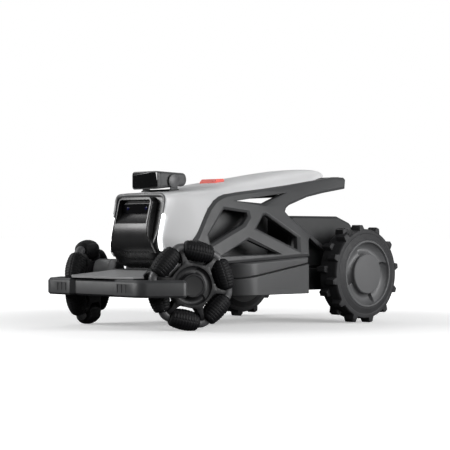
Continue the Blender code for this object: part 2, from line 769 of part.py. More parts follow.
def bumper():
    """A bar with two proud blocks, corner curves and arms that run back beside the wheels."""
    step = 0.0100
    front = [(0.0, FRONT_Y + step), (0.066, FRONT_Y + step), (0.075, FRONT_Y), (0.140, FRONT_Y)]
    corner = arc((0.140, FRONT_Y + 0.036), 0.036, -90, -34, 5)
    tip = arc((0.2030, -0.2880), 0.0110, -34, 146, 6)
    back = arc((0.140, FRONT_Y + 0.036), 0.015, -34, -90, 3)
    half = [*front, *corner, *tip, *back, (0.0, FRONT_Y + 0.021)]
    outline = half + [(-x, y) for x, y in reversed(half) if x > 0]
    bar = prism([outline], BUMPER_BOTTOM, BUMPER_TOP)
    bar = chamfered(bar, 0.0035, segments=2)
    for side in (-1, 1):
        arm = box((side * 0.040 - 0.008, FRONT_Y + 0.018, 0.084),
                  (side * 0.040 + 0.008, -0.215, 0.096))
        bar = union(bar, arm)
        for slit in range(3):
            x = side * (0.0885 + 0.0140 * slit)
            low = (x - 0.0012, -0.40, BUMPER_BOTTOM + 0.0090)
            bar = cut(bar, box(low, (x + 0.0012, FRONT_Y + 0.002, BUMPER_TOP - 0.0090)))
    return bar


def body_covers():
    part(chassis_tub(), "chassis_tub", "charcoal")
    part(upper_housing(), "upper_housing", "charcoal")
    skirts()
    pair(side_frame(), "side_frame", "graphite")
    part(hood_shell(), "hood_shell", "silver")
    part(rear_cover(), "rear_cover", "charcoal")
    part(tail_crossbar(), "tail_crossbar", "graphite")
    part(fascia(), "fascia", "gloss_black")
    part(vision_bar(), "vision_bar", "glass_black")
    part(vision_lens(1), "vision_lens_left", "lens_blue")
    part(vision_lens(-1), "vision_lens_right", "lens_blue")
    pair(light_strip(), "light_strip", "light_white")
    part(front_deck_plate(), "front_deck_plate", "graphite")
    part(bumper(), "bumper", "graphite")


# ---------------------------------------------------------------- top camera and stop button
def hood_slope(y):
    return along(HOOD_CREST, y)


def camera_yoke():
    """A saddle on the hood with a round cheek on each side of the camera."""
    saddle = box((-0.0485, -0.190, 0.0006), (0.0485, -0.156, 0.0026))
    for vertex in saddle.data.vertices:
        vertex.co.z += hood_slope(vertex.co.y)
    yoke = saddle
    inner = CAMERA_HALF + 0.0006
    for side in (-1, 1):
        low, high = sorted((side * inner, side * (inner + 0.0040)))
        neck = box((low, -0.184, 0.2995), (high, -0.164, 0.3150))
        for vertex in neck.data.vertices:
            if vertex.co.z < 0.310:
                vertex.co.z = hood_slope(vertex.co.y) + 0.0008
        cheek = cylinder(0.0160, low, high, segments=24)
        move(cheek, Matrix.Translation(CAMERA_PIVOT) @ Matrix.Rotation(math.pi / 2, 4, "Y"))
        yoke = union(yoke, neck, cheek)
    return yoke


def camera_housing():
    """A box that tapers to the rear, open in front for its window; origin on the tilt axis."""
    side = [(-0.2163, 0.3010), (-0.2163, 0.3410), (-0.1400, 0.3385), (-0.1293, 0.3330),
            (-0.1293, 0.3140), (-0.1380, 0.3085)]
    housing = move(prism([side], -CAMERA_HALF, CAMERA_HALF), SIDE_VIEW)
    housing = chamfered(housing, 0.0045, segments=2)
    opening = prism([rounded_rectangle(0.0400, 0.3045, 0.3372, 0.004)], 0.2115, 0.23)
    housing = cut(housing, move(opening, FRONT_VIEW))
    return move(housing, Matrix.Translation(-CAMERA_PIVOT))


def camera_window():
    pane = prism([rounded_rectangle(0.0396, 0.3049, 0.3368, 0.004)], 0.2119, 0.2155)
    return move(move(pane, FRONT_VIEW), Matrix.Translation(-CAMERA_PIVOT))


def stop_button():
    """A wedge key with a stem that passes through the hood."""
    front, rear = BUTTON_Y
    side = [(front, 0.3160), (front, 0.3225), (front + 0.006, 0.3285), (rear - 0.003, 0.3295),
            (rear, 0.3270), (rear, 0.3160), (rear - 0.006, 0.3160), (rear - 0.006, 0.3020),
            (front + 0.006, 0.3020), (front + 0.006, 0.3160)]
    return move(prism([side], -BUTTON_HALF, BUTTON_HALF), SIDE_VIEW)


def top_parts():
    part(camera_yoke(), "camera_yoke", "charcoal")
    place = Matrix.Translation(CAMERA_PIVOT)
    part(camera_housing(), "camera_housing", "graphite", place)
    part(camera_window(), "camera_window", "glass_black", place)
    part(stop_button(), "stop_button", "coral")


# ---------------------------------------------------------------- cutting unit and insides
def lift_carriage():
    """A plate and sleeve for the blade motor, with a nut boss on the lift screw."""
    carriage = turned([(0.0365, 0.190), (0.0365, 0.104), (0.062, 0.104), (0.062, 0.100),
                       (0.0050, 0.100), (0.0050, 0.1045), (0.0328, 0.1045), (0.0328, 0.190)], 28)
    boss = cylinder(0.0100, 0.173, 0.189, segments=16, centre=(0.0, SCREW_OFFSET))
    arm = box((-0.007, 0.0345, 0.174), (0.007, SCREW_OFFSET, 0.188))
    carriage = union(carriage, boss, arm)
    hole = cylinder(0.0056, 0.16, 0.20, segments=14, centre=(0.0, SCREW_OFFSET))
    return cut(carriage, hole)


def blade_motor():
    motor = cylinder(0.0322, 0.1050, 0.1880, segments=28)
    return cut(motor, cylinder(0.0050, 0.09, 0.125, segments=12))


def blade_disc():
    """The cutter disc, its drive shaft and three blade pins below it."""
    disc = turned([(0.0, 0.120), (0.0042, 0.120), (0.0042, 0.0900), (0.016, 0.0895),
                   (0.018, 0.0880), (BLADE_DISC_R, 0.0875), (BLADE_DISC_R, 0.0850),
                   (0.0, 0.0850)], 36)
    for blade in range(3):
        pin = cylinder(0.0022, 0.0800, 0.0860, segments=10, centre=(BLADE_PIVOT_R, 0.0))
        disc = union(disc, move(pin, Matrix.Rotation(blade * math.tau / 3, 4, "Z")))
    return disc


def blade():
    """A thin two-edged blade, local origin on its pin."""
    tip = BLADE_TIP_R - BLADE_PIVOT_R
    outline = [(-0.006, -0.0045), (-0.003, -0.0065), (tip - 0.004, -0.0065), (tip, -0.0025),
               (tip, 0.0025), (tip - 0.004, 0.0065), (-0.003, 0.0065), (-0.006, 0.0045)]
    plate = prism([outline], 0.0825, 0.0837)
    return cut(plate, cylinder(0.0027, 0.08, 0.09, segments=12))


def cutting_unit():
    centre = Matrix.Translation(BLADE_AXIS)
    part(lift_carriage(), "lift_carriage", "charcoal", centre)
    part(blade_motor(), "blade_motor", "motor_grey", centre)
    part(blade_disc(), "blade_disc", "charcoal", centre)
    for index in range(3):
        turn = Matrix.Rotation(index * math.tau / 3, 4, "Z")
        place = centre @ turn @ Matrix.Translation((BLADE_PIVOT_R, 0.0, 0.0))
        part(blade(), f"blade_{index + 1}", "steel", place)
    screw = cylinder(0.0050, 0.1065, 0.205, segments=14)
    place = Matrix.Translation((0.0, BLADE_AXIS.y + SCREW_OFFSET, 0.0))
    part(screw, "lift_screw", "steel", place)


def insides():
    base = TUB_TOP + GAP
    battery = chamfered(box((-0.060, -0.180, base), (0.060, -0.062, 0.190)), 0.004)
    part(battery, "battery_pack", "battery")
    board = box((-0.055, -0.175, 0.1904), (0.055, -0.070, 0.1920))
    chips = box((-0.020, -0.150, 0.1915), (0.020, -0.110, 0.1985))
    part(union(board, chips), "control_board", "board")
    face = TUB_REAR + GAP
    contact = box((0.014, face, 0.096), (0.026, face + 0.0016, 0.112))
    pair(chamfered(contact, 0.0004), "charge_contact", "brass")


MATERIALS = {name: make_material(name, *values) for name, values in COLOURS.items()}
front_wheels()
rear_wheels()
body_covers()
top_parts()
cutting_unit()
insides()
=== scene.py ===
"""The looks of a robotic lawn mower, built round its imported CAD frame.

Metres, +Z up, in the CAD's own frame: the front faces -Y and the machine's left side is +X.
"""

import json
from math import atan2, cos, exp, hypot, log, pi, radians, sin, sqrt, tan, tau

import bmesh
import bpy
import numpy as np
from mathutils import Matrix, Vector

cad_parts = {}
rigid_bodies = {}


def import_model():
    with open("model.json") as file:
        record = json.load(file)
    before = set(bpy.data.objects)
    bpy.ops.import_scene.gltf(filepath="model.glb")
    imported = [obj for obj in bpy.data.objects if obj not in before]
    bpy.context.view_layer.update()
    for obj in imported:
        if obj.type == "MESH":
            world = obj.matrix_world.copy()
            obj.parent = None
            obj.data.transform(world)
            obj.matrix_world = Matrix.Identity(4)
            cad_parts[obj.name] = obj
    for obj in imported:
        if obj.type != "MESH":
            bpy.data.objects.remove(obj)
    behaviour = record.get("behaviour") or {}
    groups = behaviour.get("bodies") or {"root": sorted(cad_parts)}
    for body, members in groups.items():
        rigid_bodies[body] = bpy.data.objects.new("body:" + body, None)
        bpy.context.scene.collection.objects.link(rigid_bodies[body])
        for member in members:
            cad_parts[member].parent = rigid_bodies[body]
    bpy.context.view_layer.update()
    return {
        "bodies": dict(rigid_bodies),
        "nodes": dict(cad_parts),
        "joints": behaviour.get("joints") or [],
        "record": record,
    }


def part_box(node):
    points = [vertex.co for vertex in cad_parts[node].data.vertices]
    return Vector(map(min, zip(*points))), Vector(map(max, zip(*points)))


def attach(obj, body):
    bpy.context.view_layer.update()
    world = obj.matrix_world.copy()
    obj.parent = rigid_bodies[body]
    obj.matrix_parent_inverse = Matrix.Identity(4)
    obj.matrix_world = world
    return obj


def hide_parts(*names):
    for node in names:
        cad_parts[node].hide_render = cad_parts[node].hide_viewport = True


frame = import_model()
NODES = frame["nodes"]
JOINTS = {joint["name"]: joint for joint in frame["joints"]}
MIRROR = Matrix.Diagonal((-1.0, 1.0, 1.0, 1.0))
UP = Vector((0.0, 0.0, 1.0))
MERGE_DISTANCE = 1e-6


# ---- mesh helpers
def placed(name, data):
    """A new object in the scene that shows the data."""
    obj = bpy.data.objects.new(name, data)
    bpy.context.scene.collection.objects.link(obj)
    return obj


def solid(name, vertices, faces):
    """A new object from vertices and faces, welded, with its faces pointing out."""
    mesh = bpy.data.meshes.new(name)
    mesh.from_pydata([tuple(v) for v in vertices], [], faces)
    shape = bmesh.new()
    shape.from_mesh(mesh)
    bmesh.ops.remove_doubles(shape, verts=shape.verts, dist=MERGE_DISTANCE)
    bmesh.ops.dissolve_degenerate(shape, edges=shape.edges, dist=MERGE_DISTANCE)
    bmesh.ops.recalc_face_normals(shape, faces=shape.faces)
    shape.to_mesh(mesh)
    shape.free()
    return placed(name, mesh)


def quads(rows, columns, close_rows=False, close_columns=False):
    """Faces over a grid of vertices that are listed row by row."""
    faces = []
    for i in range(rows if close_rows else rows - 1):
        for j in range(columns if close_columns else columns - 1):
            a, b = i, (i + 1) % rows
            c, d = j, (j + 1) % columns
            faces.append((a * columns + c, a * columns + d, b * columns + d, b * columns + c))
    return faces


def grid(name, rows, close_rows=False, close_columns=False):
    """A skin over rows of points; every row has the same number of them."""
    vertices = [point for row in rows for point in row]
    return solid(name, vertices, quads(len(rows), len(rows[0]), close_rows, close_columns))


def turns(count):
    """Angles at equal steps round a full turn."""
    return [tau * k / count for k in range(count)]


def lathe(name, profile, steps, closed=False):
    """A (radius, height) profile turned about local Z."""
    rows = [[(r * cos(a), r * sin(a), h) for r, h in profile] for a in turns(steps)]
    return grid(name, rows, True, closed)


def loft(name, loops):
    """A skin through equal closed loops, with flat ends."""
    count = len(loops[0])
    vertices = [point for loop in loops for point in loop]
    faces = quads(len(loops), count, False, True)
    faces.append(tuple(range(count)))
    faces.append(tuple(range(len(vertices) - count, len(vertices))))
    return solid(name, vertices, faces)


def level(outline, z):
    """A 2D outline laid flat at a height."""
    return [Vector((x, y, z)) for x, y in outline]


def upright(outline, y):
    """A 2D outline stood up at a station along the machine."""
    return [Vector((x, y, z)) for x, z in outline]


def rounded(points, radius, steps=4, closed=True):
    """A 2D polyline with each corner rounded; radius may be one value or one per point."""
    count = len(points)
    radii = [radius] * count if isinstance(radius, (int, float)) else radius
    result = []
    for i, point in enumerate(points):
        corner = Vector(point)
        if radii[i] <= 0.0 or (not closed and i in (0, count - 1)):
            result.append(tuple(corner))
            continue
        back = Vector(points[i - 1]) - corner
        ahead = Vector(points[(i + 1) % count]) - corner
        half = back.angle(ahead) / 2
        reach = min(radii[i] / max(tan(half), 0.05), 0.48 * back.length, 0.48 * ahead.length)
        start, end = corner + back.normalized() * reach, corner + ahead.normalized() * reach
        for k in range(steps + 1):
            t = k / steps
            result.append(tuple(start * (1 - t) ** 2 + corner * 2 * t * (1 - t) + end * t * t))
    return result


def rectangle(half_x, low, high, radius, steps=5):
    """An outline that is centred across, with rounded corners."""
    corners = [(-half_x, low), (half_x, low), (half_x, high), (-half_x, high)]
    return rounded(corners, radius, steps)


def sweep(name, path, section, across):
    """A closed 2D section carried along a 3D path; a callable section may change along it."""
    loops = []
    for i, point in enumerate(path):
        before, after = path[max(i - 1, 0)], path[min(i + 1, len(path) - 1)]
        along = (Vector(after) - Vector(before)).normalized()
        first = Vector(across).cross(along).normalized()
        second = along.cross(first).normalized()
        shape = section(i) if callable(section) else section
        loops.append([Vector(point) + first * x + second * y for x, y in shape])
    return loft(name, loops)


def evenly(path, count):
    """The same path with points at equal distances."""
    points = np.array([tuple(point) for point in path])
    steps = np.linalg.norm(np.diff(points, axis=0), axis=1)
    reach = np.concatenate([[0.0], np.cumsum(steps)])
    wanted = np.linspace(0.0, reach[-1], count)
    return [Vector([np.interp(d, reach, points[:, axis]) for axis in range(3)]) for d in wanted]


def arc(centre, radius, start, end, steps):
    """Points along a circular arc, angles in degrees."""
    angles = [radians(start + (end - start) * k / steps) for k in range(steps + 1)]
    return [(centre[0] + radius * cos(a), centre[1] + radius * sin(a)) for a in angles]


def inset(outline, distance):
    """A counter-clockwise outline moved inwards, with mitred corners of limited length."""
    result = []
    for i, point in enumerate(outline):
        corner = Vector(point)
        before = (corner - Vector(outline[i - 1])).normalized()
        after = (Vector(outline[(i + 1) % len(outline)]) - corner).normalized()
        middle = (before + after).normalized()
        share = min(1.0 / max(middle.dot(before), 0.3), 1.5)
        result.append(tuple(corner + Vector((-middle.y, middle.x)) * distance * share))
    return result


def slab(name, outline, levels):
    """An upright solid over an outline; levels are (height, how far the outline is drawn in)."""
    return loft(name, [level(inset(outline, distance), height) for height, distance in levels])


def block(name, low, high, edge=0.001):
    """A box with rounded upright edges and bevelled ends."""
    middle_x, half_x = (low[0] + high[0]) / 2, (high[0] - low[0]) / 2
    outline = [(middle_x + x, y) for x, y in rectangle(half_x, low[1], high[1], edge * 1.5, 3)]
    return slab(name, outline, [(low[2], edge), (low[2] + edge, 0), (high[2] - edge, 0), (high[2], edge)])


def ellipse(wide, high, steps=20):
    return [(wide * cos(a), high * sin(a)) for a in turns(steps)]


def joined(name, objects):
    """One object from several; the shapes stay separate closed bodies of one mesh."""
    shape = bmesh.new()
    for obj in objects:
        shape.from_mesh(obj.data)
    mesh = bpy.data.meshes.new(name)
    shape.to_mesh(mesh)
    shape.free()
    for obj in objects:
        bpy.data.objects.remove(obj, do_unlink=True)
    return placed(name, mesh)


def moved(obj, matrix):
    """The object with its mesh transformed, its faces still pointing out."""
    obj.data.transform(matrix)
    if matrix.determinant() < 0:
        obj.data.flip_normals()
    return obj


def modify(obj, kind, **settings):
    modifier = obj.modifiers.new(kind.lower(), kind)
    for key, value in settings.items():
        setattr(modifier, key, value)


def bevel(obj, width, angle):
    """Rounds the edges that are sharper than the angle."""
    modify(obj, "BEVEL", width=width, segments=2, limit_method="ANGLE",
           angle_limit=radians(angle))


def applied(obj):
    """Turns the object's modifiers into plain geometry."""
    bpy.context.view_layer.update()
    graph = bpy.context.evaluated_depsgraph_get()
    mesh = bpy.data.meshes.new_from_object(obj.evaluated_get(graph), depsgraph=graph)
    obj.modifiers.clear()
    obj.data = mesh
    return obj


def cut(obj, *cutters):
    """The object with the cutters taken out of it and used up."""
    for cutter in cutters:
        modify(obj, "BOOLEAN", operation="DIFFERENCE", object=cutter, solver="EXACT")
        applied(obj)
        bpy.data.objects.remove(cutter, do_unlink=True)
    return obj


def shaded(obj, angle=40.0):
    """The object shaded smooth, except at edges sharper than the angle."""
    obj.data.shade_smooth()
    obj.data.set_sharp_from_angle(angle=radians(angle))
    return obj


def dress(obj, look):
    """Gives the object its material."""
    slot, material = LOOKS[look]
    obj.data.materials.clear()
    obj.data.materials.append(material)


def piece(obj, body, look, node=None):
    """Dresses the object and lets it ride on a CAD body, in a CAD node's place if one is named."""
    dress(obj, look)
    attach(obj, body)
    if node:
        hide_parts(node)


def pair(left, body, look, node=None):
    """Finishes a left piece, whose name has _left in it, and its mirror image."""
    right = placed(left.name.replace("_left", "_right"), left.data.copy())
    moved(right, MIRROR)
    for obj, side in ((left, "left"), (right, "right")):
        piece(obj, body.format(s=side), look, node and node.format(s=side))


def smoothstep(low, high, value):
    """0 at low and 1 at high, with a smooth start and end; low may be the larger one."""
    t = min(max((value - low) / (high - low), 0.0), 1.0)
    return t * t * (3.0 - 2.0 * t)


def through(table):
    """A smooth curve through a table of (x, value), as a function."""
    xs, ys = zip(*table)
    slopes = np.gradient(np.array(ys), np.array(xs))

    def value(x):
        x = min(max(x, xs[0]), xs[-1])
        i = min(max(int(np.searchsorted(xs, x)) - 1, 0), len(xs) - 2)
        span = xs[i + 1] - xs[i]
        t = (x - xs[i]) / span
        a, b = 2 * t**3 - 3 * t**2 + 1, t**3 - 2 * t**2 + t
        c, d = -2 * t**3 + 3 * t**2, t**3 - t**2
        return a * ys[i] + b * span * slopes[i] + c * ys[i + 1] + d * span * slopes[i + 1]

    return value


# ---- materials
class Nodes:
    """A node tree with short calls for what the materials and the world share."""

    def __init__(self, tree):
        self.tree = tree

    def add(self, kind, **values):
        node = self.tree.nodes.new("ShaderNode" + kind)
        for key, value in values.items():
            setattr(node, key, value)
        return node

    def plug(self, node, name, source):
        """Sets an input to a value, or links it to another node's output."""
        if isinstance(source, bpy.types.NodeSocket):
            self.tree.links.new(source, node.inputs[name])
        else:
            node.inputs[name].default_value = source

    def ranged(self, source, from_range, to_range, curve="SMOOTHSTEP"):
        """Maps a number from one range to another."""
        made = self.add("MapRange", interpolation_type=curve)
        names = ("Value", "From Min", "From Max", "To Min", "To Max")
        for name, value in zip(names, (source, *from_range, *to_range)):
            self.plug(made, name, value)
        return made.outputs["Result"]

    def seen(self, by_camera, by_others):
        """One shading for the rays that come straight from the camera and one for the rest."""
        mix = self.add("MixShader")
        rays = self.add("LightPath")
        for index, source in enumerate((rays.outputs["Is Camera Ray"], by_others.outputs[0],
                                        by_camera.outputs[0])):
            self.plug(mix, index, source)
        return mix.outputs[0]


# The range in which a noise texture's values mostly lie.
NOISE_RANGE = (0.3, 0.7)


class Shader(Nodes):
    """A material's nodes, with the textures that the looks below share."""

    def __init__(self, name):
        self.material = bpy.data.materials.new(name)
        self.material.use_nodes = True
        super().__init__(self.material.node_tree)
        self.surface = self.tree.nodes["Principled BSDF"]
        self.place = self.add("TexCoord").outputs["Object"]

    def noise(self, scale, detail=3.0, stretch=(1, 1, 1)):
        mapping = self.add("Mapping")
        self.plug(mapping, "Vector", self.place)
        self.plug(mapping, "Scale", stretch)
        made = self.add("TexNoise")
        self.plug(made, "Vector", mapping.outputs["Vector"])
        self.plug(made, "Scale", scale)
        self.plug(made, "Detail", detail)
        return made.outputs["Fac"]

    def cells(self, scale):
        made = self.add("TexVoronoi")
        self.plug(made, "Vector", self.place)
        self.plug(made, "Scale", scale)
        return made.outputs["Distance"]

    def between(self, factor, low, high):
        """Maps a noise to low..high, for numbers or colours."""
        if not isinstance(low, tuple):
            return self.ranged(factor, NOISE_RANGE, (low, high), "LINEAR")
        ramp = self.add("ValToRGB")
        for element, position, colour in zip(ramp.color_ramp.elements, NOISE_RANGE, (low, high)):
            element.position = position
            element.color = (*colour, 1.0)
        self.plug(ramp, "Fac", factor)
        return ramp.outputs["Color"]

    def bump(self, height, strength, distance):
        made = self.add("Bump")
        self.plug(made, "Height", height)
        self.plug(made, "Strength", strength)
        self.plug(made, "Distance", distance)
        self.plug(self.surface, "Normal", made.outputs["Normal"])

    def set(self, **values):
        """Sets or links inputs of the surface and returns the material."""
        for key, value in values.items():
            self.plug(self.surface, key.replace("_", " "), value)
        return self.material


def moulded(name, dark, light, rough, grain=1400.0, grain_depth=0.00006):
    """Spark-eroded plastic: a fine grain, a faint cloudiness and a slightly uneven gloss."""
    shader = Shader(name)
    cloud = shader.noise(14.0, 4.0)
    shader.bump(shader.noise(grain, 2.0), 0.35, grain_depth)
    return shader.set(
        Base_Color=shader.between(cloud, dark, light),
        Roughness=shader.between(shader.noise(60.0), *rough),
    )


def silver_paint():
    """Satin silver lacquer: a fine metal flake with a soft, low gloss."""
    shader = Shader("silver_paint")
    flake = shader.cells(2600.0)
    shader.bump(flake, 0.06, 0.00004)
    return shader.set(
        Base_Color=shader.between(shader.noise(9.0), (0.78, 0.781, 0.787), (0.805, 0.806, 0.812)),
        Metallic=0.05,
        Specular_IOR_Level=0.25,
        Roughness=shader.between(shader.noise(1800.0, 1.0), 0.4, 0.5),
    )


def rubber(name, dark, light, rough):
    """Moulded rubber: matt, faintly dusty, with a pebbled skin."""
    shader = Shader(name)
    shader.bump(shader.noise(900.0, 3.0), 0.4, 0.0001)
    return shader.set(
        Base_Color=shader.between(shader.noise(45.0, 5.0), dark, light),
        Roughness=shader.between(shader.noise(120.0), *rough),
        Specular_IOR_Level=0.25,
    )


def glossy(name, dark, light, rough):
    """Polished plastic or glass with faint wiping marks in its gloss."""
    shader = Shader(name)
    smear = shader.noise(30.0, 4.0, stretch=(1.0, 1.0, 0.2))
    return shader.set(
        Base_Color=shader.between(shader.noise(20.0), dark, light),
        Roughness=shader.between(smear, *rough),
        Coat_Weight=0.6,
        Coat_Roughness=0.04,
    )


def metal(name, dark, light, rough, stretch):
    """Metal with fine tool marks along one direction."""
    shader = Shader(name)
    lines = shader.noise(700.0, 2.0, stretch)
    shader.bump(lines, 0.2, 0.00005)
    return shader.set(
        Base_Color=shader.between(lines, dark, light),
        Metallic=0.9,
        Roughness=shader.between(lines, *rough),
    )


def lit_diffuser():
    """A light guide that glows evenly, a little weaker towards its grain."""
    shader = Shader("lit_diffuser")
    glow = shader.between(shader.noise(500.0), 1.9, 2.1)
    return shader.set(
        Base_Color=(0.9, 0.92, 0.95, 1.0),
        Roughness=0.3,
        Emission_Color=(1.0, 1.0, 1.0, 1.0),
        Emission_Strength=glow,
    )


def circuit_board():
    """Green solder mask with lighter tracks."""
    shader = Shader("circuit_board")
    tracks = shader.add("TexBrick")
    shader.plug(tracks, "Vector", shader.place)
    shader.plug(tracks, "Scale", 160.0)
    shader.plug(tracks, "Color1", (0.015, 0.13, 0.055, 1.0))
    shader.plug(tracks, "Color2", (0.02, 0.17, 0.07, 1.0))
    shader.plug(tracks, "Mortar", (0.05, 0.3, 0.13, 1.0))
    return shader.set(Base_Color=tracks.outputs["Color"], Roughness=0.35)


# A grain and a grain depth that leave the plastic nearly polished.
POLISH = (1800.0, 0.000004)

# Each look: its slot, its kind of material, its darkest and lightest colour and its finish.
RECIPES = {
    "bar": ("graphite_plastic", moulded, (0.04, 0.041, 0.043), (0.046, 0.047, 0.049), (0.4, 0.48)),
    "trim": ("graphite_plastic", moulded, (0.13, 0.131, 0.134), (0.15, 0.151, 0.154), (0.26, 0.34)),
    "graphite": ("graphite_plastic", moulded, (0.058, 0.059, 0.061), (0.065, 0.066, 0.068), (0.48, 0.56)),
    "skirt": ("graphite_plastic", moulded, (0.068, 0.069, 0.071), (0.076, 0.077, 0.079), (0.34, 0.42)),
    "deck": ("graphite_plastic", moulded, (0.33, 0.331, 0.334), (0.35, 0.351, 0.354), (0.4, 0.48)),
    "sleeve": ("graphite_plastic", moulded, (0.085, 0.085, 0.088), (0.1, 0.1, 0.103), (0.36, 0.44)),
    "rim": ("graphite_plastic", moulded, (0.105, 0.106, 0.109), (0.118, 0.119, 0.122), (0.42, 0.5)),
    "hub": ("charcoal_plastic", moulded, (0.009, 0.009, 0.01), (0.012, 0.012, 0.013), (0.44, 0.52)),
    "charcoal": ("charcoal_plastic", moulded, (0.03, 0.031, 0.032), (0.036, 0.037, 0.038), (0.48, 0.56)),
    "panel": ("gloss_black", moulded, (0.009, 0.009, 0.0095), (0.011, 0.011, 0.0115), (0.24, 0.27), *POLISH),
    "nose": ("gloss_black", moulded, (0.009, 0.009, 0.0095), (0.011, 0.011, 0.0115), (0.26, 0.3), *POLISH),
    "lip": ("silver_hood", moulded, (0.75, 0.75, 0.76), (0.8, 0.8, 0.81), (0.25, 0.32)),
    "axle": ("motor_grey", moulded, (0.3, 0.3, 0.305), (0.34, 0.34, 0.345), (0.34, 0.42)),
    "coral": ("stop_coral", moulded, (0.78, 0.085, 0.06), (0.84, 0.105, 0.075), (0.3, 0.38)),
    "battery": ("battery_wrap", moulded, (0.045, 0.08, 0.13), (0.055, 0.1, 0.15), (0.42, 0.52)),
    "roller": ("roller_rubber", rubber, (0.006, 0.006, 0.007), (0.008, 0.008, 0.009), (0.5, 0.62)),
    "tyre": ("tyre_rubber", rubber, (0.038, 0.038, 0.04), (0.047, 0.047, 0.049), (0.52, 0.62)),
    "camera_glass": ("black_glass", glossy, (0.0035, 0.0035, 0.004), (0.005, 0.005, 0.0055), (0.05, 0.08)),
    "glass": ("black_glass", glossy, (0.003, 0.003, 0.004), (0.005, 0.005, 0.006), (0.03, 0.06)),
    "lens": ("lens_blue", glossy, (0.004, 0.005, 0.05), (0.006, 0.008, 0.08), (0.03, 0.06)),
    "motor": ("motor_grey", metal, (0.3, 0.3, 0.31), (0.36, 0.36, 0.37), (0.34, 0.42), (1, 1, 8)),
    "steel": ("steel", metal, (0.5, 0.5, 0.51), (0.62, 0.62, 0.63), (0.2, 0.32), (1, 12, 1)),
    "brass": ("brass", metal, (0.6, 0.43, 0.17), (0.7, 0.52, 0.23), (0.22, 0.32), (1, 1, 6)),
}
LOOKS = {look: (slot, kind(look, *values)) for look, (slot, kind, *values) in RECIPES.items()}
LOOKS["silver"] = ("silver_hood", silver_paint())
LOOKS["light"] = ("light_white", lit_diffuser())
LOOKS["board"] = ("circuit_green", circuit_board())


# ---- places from the frame
def joint_point(name):
    return Vector(JOINTS[name]["pos_m"])


def wheel_place(joint):
    """Local X rearwards, local Y up, local Z outwards on the machine's left side."""
    out = Vector(JOINTS[joint]["axis"]).normalized()
    rear = UP.cross(out)
    rows = [(rear[i], UP[i], out[i], joint_point(joint)[i]) for i in range(3)]
    return Matrix([*rows, (0.0, 0.0, 0.0, 1.0)])


SIDES = {"left": Matrix.Identity(4), "right": MIRROR}
FRONT = wheel_place("front_wheel_left_spin")
REAR = wheel_place("rear_wheel_left_spin")
FRONT_R = FRONT.translation.z
REAR_R = REAR.translation.z
ROLLERS = 6
PITCH = tau / ROLLERS


def roller_spot(index, side):
    """A roller's angle round its front wheel, from the rear upwards, and its distance out."""
    centre = SIDES[side] @ joint_point(f"roller_{index}_{side}_spin")
    spot = FRONT.inverted() @ centre
    return atan2(spot.y, spot.x), hypot(spot.x, spot.y)


FIRST_ROLLER = {side: roller_spot(1, side)[0] for side in SIDES}
AXLE_RING_R = roller_spot(1, "left")[1]
CORNER_R = AXLE_RING_R / cos(PITCH / 2)


def polar(radius, angle, z=0.0):
    return Vector((radius * cos(angle), radius * sin(angle), z))


# ---- front omni-wheels
def roller_skin(index, side):
    """A barrel of rubber with ribs round it and rows of dimples along it."""
    half, shoulder, end_r, bore_r = 0.0316, 0.0262, 0.0122, 0.0036
    ribs, ribbed_half, rib_depth = 9, 0.0285, 0.0009
    dimple_rows, dimple_depth = 8, 0.0016
    around, stations = turns(96), 118
    rings = []
    for i in range(stations + 1):
        s = half * (2 * i / stations - 1)
        crown = sqrt(FRONT_R**2 - s * s) - AXLE_RING_R
        past = max(0.0, (abs(s) - shoulder) / (half - shoulder))
        body = end_r + (crown - end_r) * sqrt(max(0.0, 1.0 - past**2))
        wave = 0.5 * cos(tau * (s / (2 * ribbed_half) + 0.5) * ribs)
        inside = smoothstep(0.0295, 0.0275, abs(s))
        rings.append([])
        for angle in around:
            notch = max(0.0, cos(dimple_rows * angle)) ** 10 * (0.5 - wave)
            depth = inside * (rib_depth * (0.5 + wave) ** 3 + dimple_depth * notch)
            rings[-1].append(polar(body - depth, angle, s))
    for s in (half, -half):
        rings.append([polar(bore_r, angle, s) for angle in around])
    skin = grid(f"roller_sleeve_{index}_{side}", rings, True, True)
    angle, ring_r = roller_spot(index, side)
    turn = Matrix.Rotation(angle, 4, "Z") @ Matrix.Translation((ring_r, 0, 0))
    return moved(skin, SIDES[side] @ FRONT @ turn @ Matrix.Rotation(-pi / 2, 4, "X"))


def rollers():
    for side in SIDES:
        for index in range(1, ROLLERS + 1):
            skin = shaded(roller_skin(index, side), 60)
            piece(skin, f"roller_{index}_{side}", "roller", f"omni_roller_{index}_{side}")


def hexagon_edge(angle, apothem, first):
    """Distance from the centre to a hexagon whose corners, between the rollers, are rounded."""
    offset = (angle - first + PITCH / 2) % PITCH - PITCH / 2
    flat = apothem / cos(offset)
    corner = (apothem + 0.0022) / cos(pi / 6) - 0.0018
    blend = 900
    return -log(exp(-blend * flat) + exp(-blend * corner)) / blend


def scoop(radius, angle, inner, outer, depth, vanes, first):
    """Depth of a ring channel that is cut by curved steps, as in a turbine."""
    share = min(max((radius - inner) / (outer - inner), 0.0), 1.0)
    channel = sin(pi * share) ** 0.8 if 0.0 < share < 1.0 else 0.0
    lean = 0.28 * (share - 0.5) ** 2 + 0.1 * share
    turn = ((angle - first + lean) % (tau / vanes)) / (tau / vanes)
    ramp = 0.3 + 0.7 * turn ** 1.2
    ramp -= (ramp - 0.3) * smoothstep(0.975, 1.0, turn)
    return depth * channel * ramp


